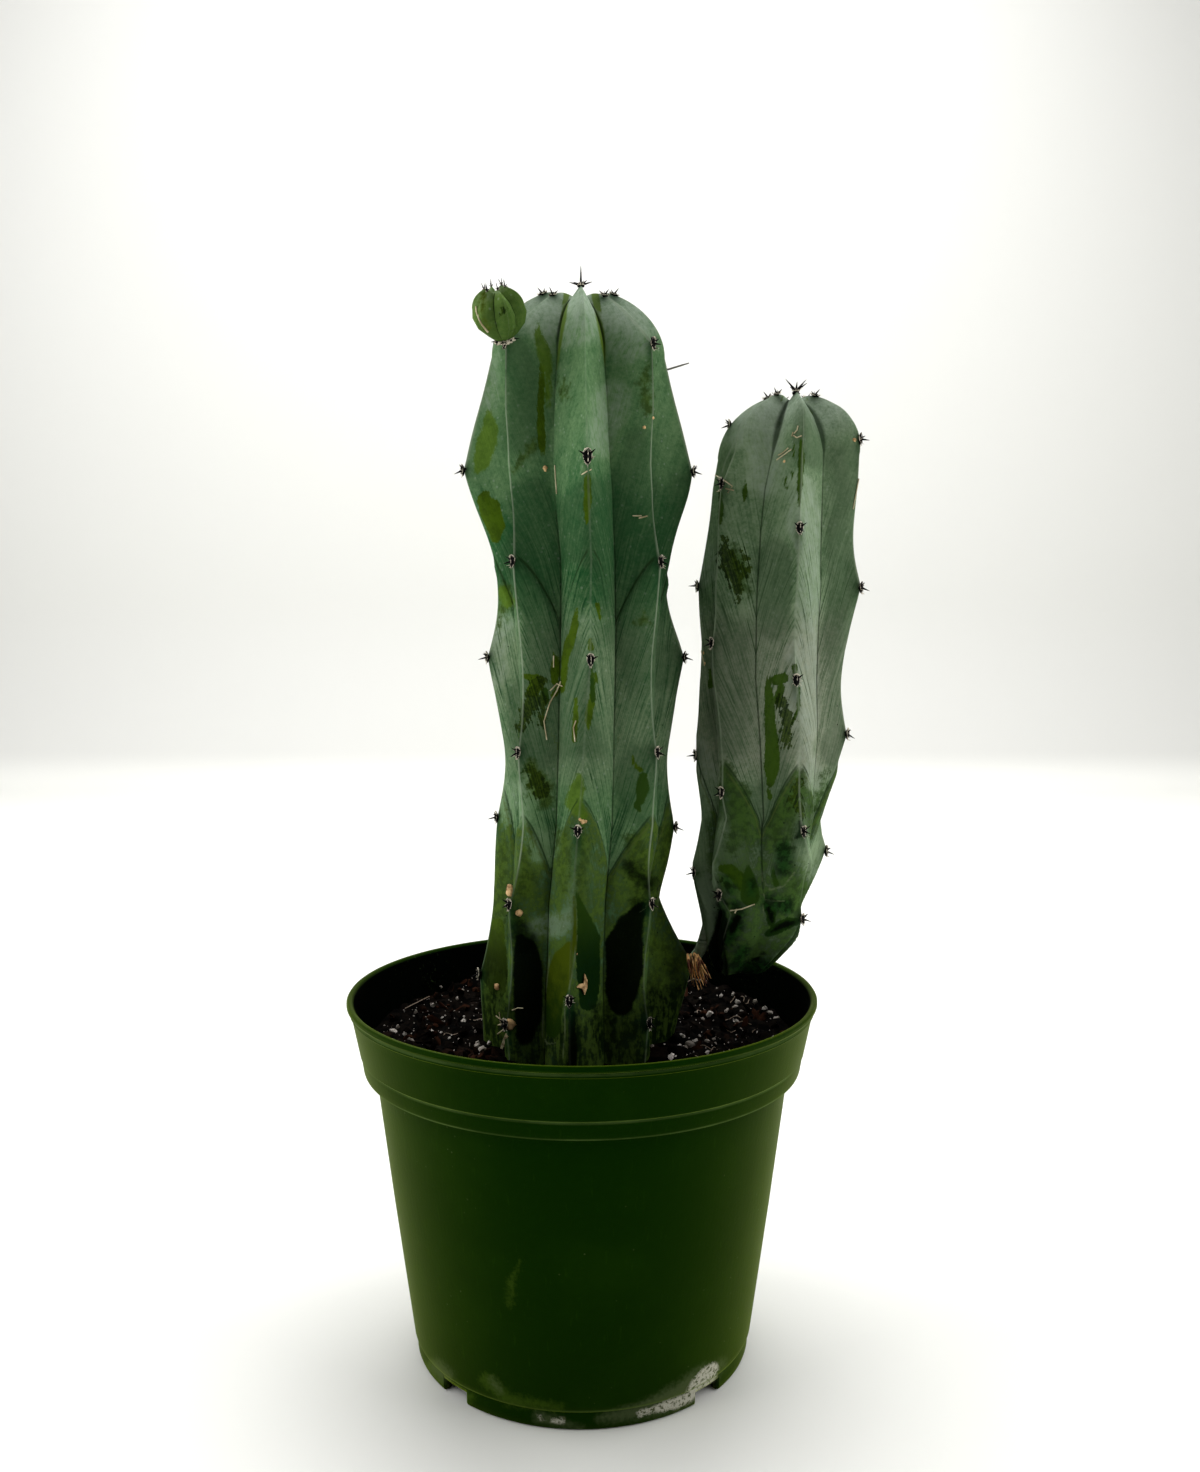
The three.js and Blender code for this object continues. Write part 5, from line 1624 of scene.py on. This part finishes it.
# The side stem's scars and straws, laid on its skin like those of the main stem. Most of the
# straws lie near its crown, and a few by its left edge and at its foot.
SIDE_SCARS = [(785, 462, 1.4), (855, 439, 2.0), (704, 652, 1.6), (705, 664, 1.4)]
SIDE_STRAWS = [
    [(777, 460), (784, 455), (791, 450)], [(779, 456), (784, 452), (788, 448)],
    [(795, 433), (797, 430), (799, 426)], [(794, 436), (798, 438), (802, 437)],
    [(792, 437), (794, 433)], [(852, 510), (855, 495), (860, 478)],
    [(715, 476), (724, 479), (733, 487), (727, 493)], [(718, 492), (726, 488), (734, 490)],
    [(731, 911), (742, 908), (755, 903)], [(735, 913), (738, 909)], [(702, 650), (705, 665)],
]
side_scars = [skin_scar(side_grid, *scar) for scar in SIDE_SCARS]
new_piece("side_scars", *joined(side_scars), cork_tan, "side_skin", 60)
side_straws = [laid_straw(side_grid, pixels) for pixels in SIDE_STRAWS]
new_piece("side_straws", *joined(side_straws), straw_pale, "side_skin", 60)


# The neck's split bark. Where the stalk joins the old rib its bark has split into tan strands,
# reddish at their tips, that curve down over the joint.
STRAND_COUNT = 19
STRAND_RADII = [0.2, 0.30, 0.28, 0.10]
strands = []
for share in np.linspace(0, 1, STRAND_COUNT):
    shake = random.normal(0, 1, 4)
    start = on_upright(688 + 10 * share + shake[0], 953 + 2.5 * abs(share - 0.5) + shake[1] * 0.6, -1.5)
    bend = on_upright(687 + 17 * share + shake[2] * 0.7, 966 + shake[1], -4.6 + 0.5 * shake[3])
    low_down = 978 + 8 * np.sin(2.6 * share + 0.5) + shake[3] * 2
    low = on_upright(693 + 18 * share + shake[0], low_down, -4.2 + 0.6 * shake[2])
    strands.append(tube([start, (start + bend) / 2 - (0, 0.8, 0), bend, low], STRAND_RADII, 5))

STRAND_TAN = ((0.12, 0.026, 0.006), (1.0, 0.58, 0.22))
bark_orange, _ = grained(
    "split_bark", (600, 3), (0.40, 0.58), STRAND_TAN, 0.8, (0.4, 0.0002), stretch=(1, 1, 0.2)
)
new_piece("neck_strands", *joined(strands), bark_orange, "side_skin", 60)


# The young offset. A small bright green globe of six fat ribs, seated on the spine cushion at the
# top of the main stem's left-front rib. A cream scar runs along the edge of its left rib.
PUP_CREST = [(0, 0), (0.6, 2.4), (2, 4.6), (5, 7.7), (8.5, 8.9), (11, 8.5)]
PUP_STEM = {
    "foot": 0, "shoulder": 11, "top": 17.4, "crown_dip": 2, "crown_tip": 3.4,
    "centre": [(0, 0, 0), (20, 0, 0)],
    "furrow": [(0, 0), (0.6, 2), (2, 3.7), (5, 6.1), (8.5, 6.8), (11, 5.9)],
    "ribs": [
        {
            "angle": angle, "crest": PUP_CREST, "levels": (-2, -1), "dip": [(0, 0), (1, 0)],
            "rise": 6.4, "slope": 1, "creases": [], "edge": 0.5,
        }
        for angle in (20, 80, 140, 200, 260, 320)
    ],
    # The offset's painted shade in the furrows is full at every height
    "chevron": 0, "rounding": 0.35, "bulge": 0.10, "cleft": [(0, 1), (20, 1)],
}
PUP_ROWS = [(0, 11, 44), (11, 17.4, 36)]
PUP_COLUMNS = 40
PUP_LEAN = np.array([-0.17, -0.5, 1])
PUP_SEAT = 346.5
PUP_LIFT = 0.9
PUP_RIB = 7
PUP_SKIN_HEIGHT = 330.0
PUP_CUSHION = 0.32
pup_grid, pup_values = ribbed_stem(PUP_STEM, PUP_ROWS, PUP_COLUMNS, 0.25)
lean = PUP_LEAN / np.linalg.norm(PUP_LEAN)
pup_turn = np.array(Vector((0, 0, 1)).rotation_difference(Vector(lean)).to_matrix())
pup_seat = crest_place(MAIN_STEM, MAIN_STEM["ribs"][PUP_RIB], PUP_SEAT) + lean * PUP_LIFT
pup_grid = pup_grid @ pup_turn.T + pup_seat
PUP_BLOOM = (0.150, 0.245, 0.055)
PUP_FLESH = (0.018, 0.070, 0.008)
PUP_OLIVE = (0.110, 0.140, 0.004)
pup_skin = cactus_skin("young_green_skin", PUP_BLOOM, PUP_FLESH, PUP_OLIVE, PUP_OLIVE, MURK_AND_SHADE_OLIVE)
pup_values["height"] = pup_values["height"] * 0 + PUP_SKIN_HEIGHT
pup_marks = {
    "worn": [[(484, 298, 3), (482, 312, 3), (488, 328, 3)]],
    "speckled": [[(503, 305, 2), (504, 312, 3)]],
    # Painted shade on the offset
    "painted_shade": [
        [(489, 300, 3), (492, 325, 4)], [(506, 318, 4), (507, 330, 4)], [(513, 300, 3), (515, 322, 3)],
    ],
    # Painted light on the offset
    "painted_light": [[(503, 288, 3), (499, 300, 2)], [(488, 288, 3), (480, 300, 2)]],
}
pup_body = stem_piece("young_offset", pup_grid, pup_values, pup_skin, "young_skin", pup_marks, [])
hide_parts("offset_pup")

felt, dark = [], []
for index, rib in enumerate(PUP_STEM["ribs"]):
    height = crown_height(PUP_STEM, rib)
    away = outward(np.float64(rib["angle"]))
    seat = crest_place(PUP_STEM, rib, height)
    some_felt, some_dark = cushion(seat, *crown_frame(away), PUP_CUSHION)
    felt += some_felt
    dark += some_dark
    for lean_out in (0.3, -0.2):
        way = UPWARD + lean_out * away + random.normal(0, 0.15, 3)
        dark.append(spine(seat, way, 2.2, 0.16, 4))
for share in np.linspace(0, 2 * np.pi, 9):
    foot = np.array([2.6 * np.sin(share), -2.6 * np.cos(share), 0.4])
    way = foot * (0.5, 0.5, 0) + np.array([0, 0, 0.1]) + random.normal(0, 0.25, 3)
    dark.append(spine(foot, way, random.uniform(1.8, 3.2), 0.3))
    felt.append(spine(foot * (1, 1, 0), foot * (0.6, 0.6, 0) + random.normal(0, 0.3, 3), 1.2, 0.5, 5))
for share in np.linspace(0, 2 * np.pi, 13)[:-1]:
    foot = np.array([2.7 * np.sin(share), -2.7 * np.cos(share), 0.3])
    felt.append(lump(foot, random.uniform(0.6, 1.0), (1, 1, 0.8), 0.25))
felt = [(points @ pup_turn.T + pup_seat, faces) for points, faces in felt]
dark = [(points @ pup_turn.T + pup_seat, faces) for points, faces in dark]
pup_felt = new_piece("pup_felt", *joined(felt), felt_cream, "young_skin", 60)
pup_spines = new_piece("pup_spines", *joined(dark), spine_black, "young_skin", 60)
PUP_SCAR_SEEN = [
    (475.8, 306), (476.2, 309), (476.8, 312), (477.8, 315), (479, 318.5), (480.6, 322), (482.6, 325),
    (485.2, 328.6), (488, 332),
]
pup_scar = laid_straw(pup_grid, PUP_SCAR_SEEN, 0.34, 0.1)
new_piece("pup_scar", *pup_scar, straw_pale, "young_skin", 60)
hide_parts("offset_pup")
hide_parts("offset_pup")


# The studio. A white sweep of paper under and behind the pot, soft light from all round, and less
# light from the camera's side. None of it is part of the object.
SWEEP_HALF = 3000
SWEEP_BEND = 1500
SWEEP_RADIUS = 300
SWEEP_FRONT = -2600
SWEEP_TOP = 3200
# Each light's name, place and aim in metres, size in metres and power in watts
LIGHTS = [
    ("overhead", (0, 0.7, 1.9), (0, 0.25, 0), 1.6, 30),
    ("left", (-1.4, -0.1, 0.9), (0, 0, 0.35), 1.8, 25),
    ("right", (1.4, 0.0, 0.9), (0, 0, 0.35), 1.8, 25),
    ("wall", (0, 0.6, 2.2), (0, 1.8, 1.1), 1.4, 9),
]
ROOM_GLOW = 0.07

curve = np.linspace(0, np.pi / 2, 12)
bend_back = SWEEP_BEND + SWEEP_RADIUS * np.sin(curve)
bend_up = SWEEP_RADIUS * (1 - np.cos(curve))
sweep = [(SWEEP_FRONT, 0.0), *zip(bend_back, bend_up), (SWEEP_BEND + SWEEP_RADIUS, SWEEP_TOP)]
sweep_points = [(side, y, z) for y, z in sweep for side in (-SWEEP_HALF, SWEEP_HALF)]
sweep_faces = [(2 * i, 2 * i + 1, 2 * i + 3, 2 * i + 2) for i in range(len(sweep) - 1)]
paper, paper_shader, paper_at = new_material("white_paper")
paper_tone = paper_at.noise(2, 1)
paper_colour = paper_tone.blend((0.85, 0.85, 0.81), (0.89, 0.89, 0.85))
paper_level = paper_at.node("ShaderNodeSeparateXYZ", {}, {0: paper_at}, output=2)
# Painted shade on the wall: darker towards the floor and towards the right
wall_shade_colour = paper_level.rises(0.1, 1.2).blend((0.72, 0.72, 0.69), (0.84, 0.84, 0.81))
paper_side = paper_at.node("ShaderNodeSeparateXYZ", {}, {0: paper_at}, output=0)
wall_shade_colour = paper_side.rises(0.0, 1.0).blend(wall_shade_colour, (0.66, 0.66, 0.63), 0.5)
paper_colour = paper_level.rises(0.004, 0.05).blend(paper_colour, wall_shade_colour)
feed(paper_shader, Base_Color=paper_colour, Roughness=0.7)
sweep_mesh = bpy.data.meshes.new("paper_sweep")
sweep_mesh.from_pydata((np.array(sweep_points) / 1000).tolist(), [], sweep_faces)
sweep_mesh.materials.append(paper)
sweep_mesh.shade_smooth()
paper_sweep = bpy.data.objects.new("paper_sweep", sweep_mesh)
bpy.context.scene.collection.objects.link(paper_sweep)


def soft_light(name, at, aim, size, power):
    """A square soft light at a place, turned to face a point, both in metres."""
    light = bpy.data.lights.new(name, "AREA")
    light.shape = "SQUARE"
    light.size = size
    light.energy = power
    lamp = bpy.data.objects.new(name, light)
    lamp.location = at
    lamp.rotation_euler = (Vector(aim) - Vector(at)).to_track_quat("-Z", "Y").to_euler()
    bpy.context.scene.collection.objects.link(lamp)


for light in LIGHTS:
    soft_light(*light)
world = bpy.data.worlds.new("studio")
bpy.context.scene.world = world
world.use_nodes = True
background = world.node_tree.nodes["Background"]
background.inputs["Color"].default_value = (1, 1, 1, 1)
background.inputs["Strength"].default_value = ROOM_GLOW
bpy.context.scene.view_settings.view_transform = "Standard"
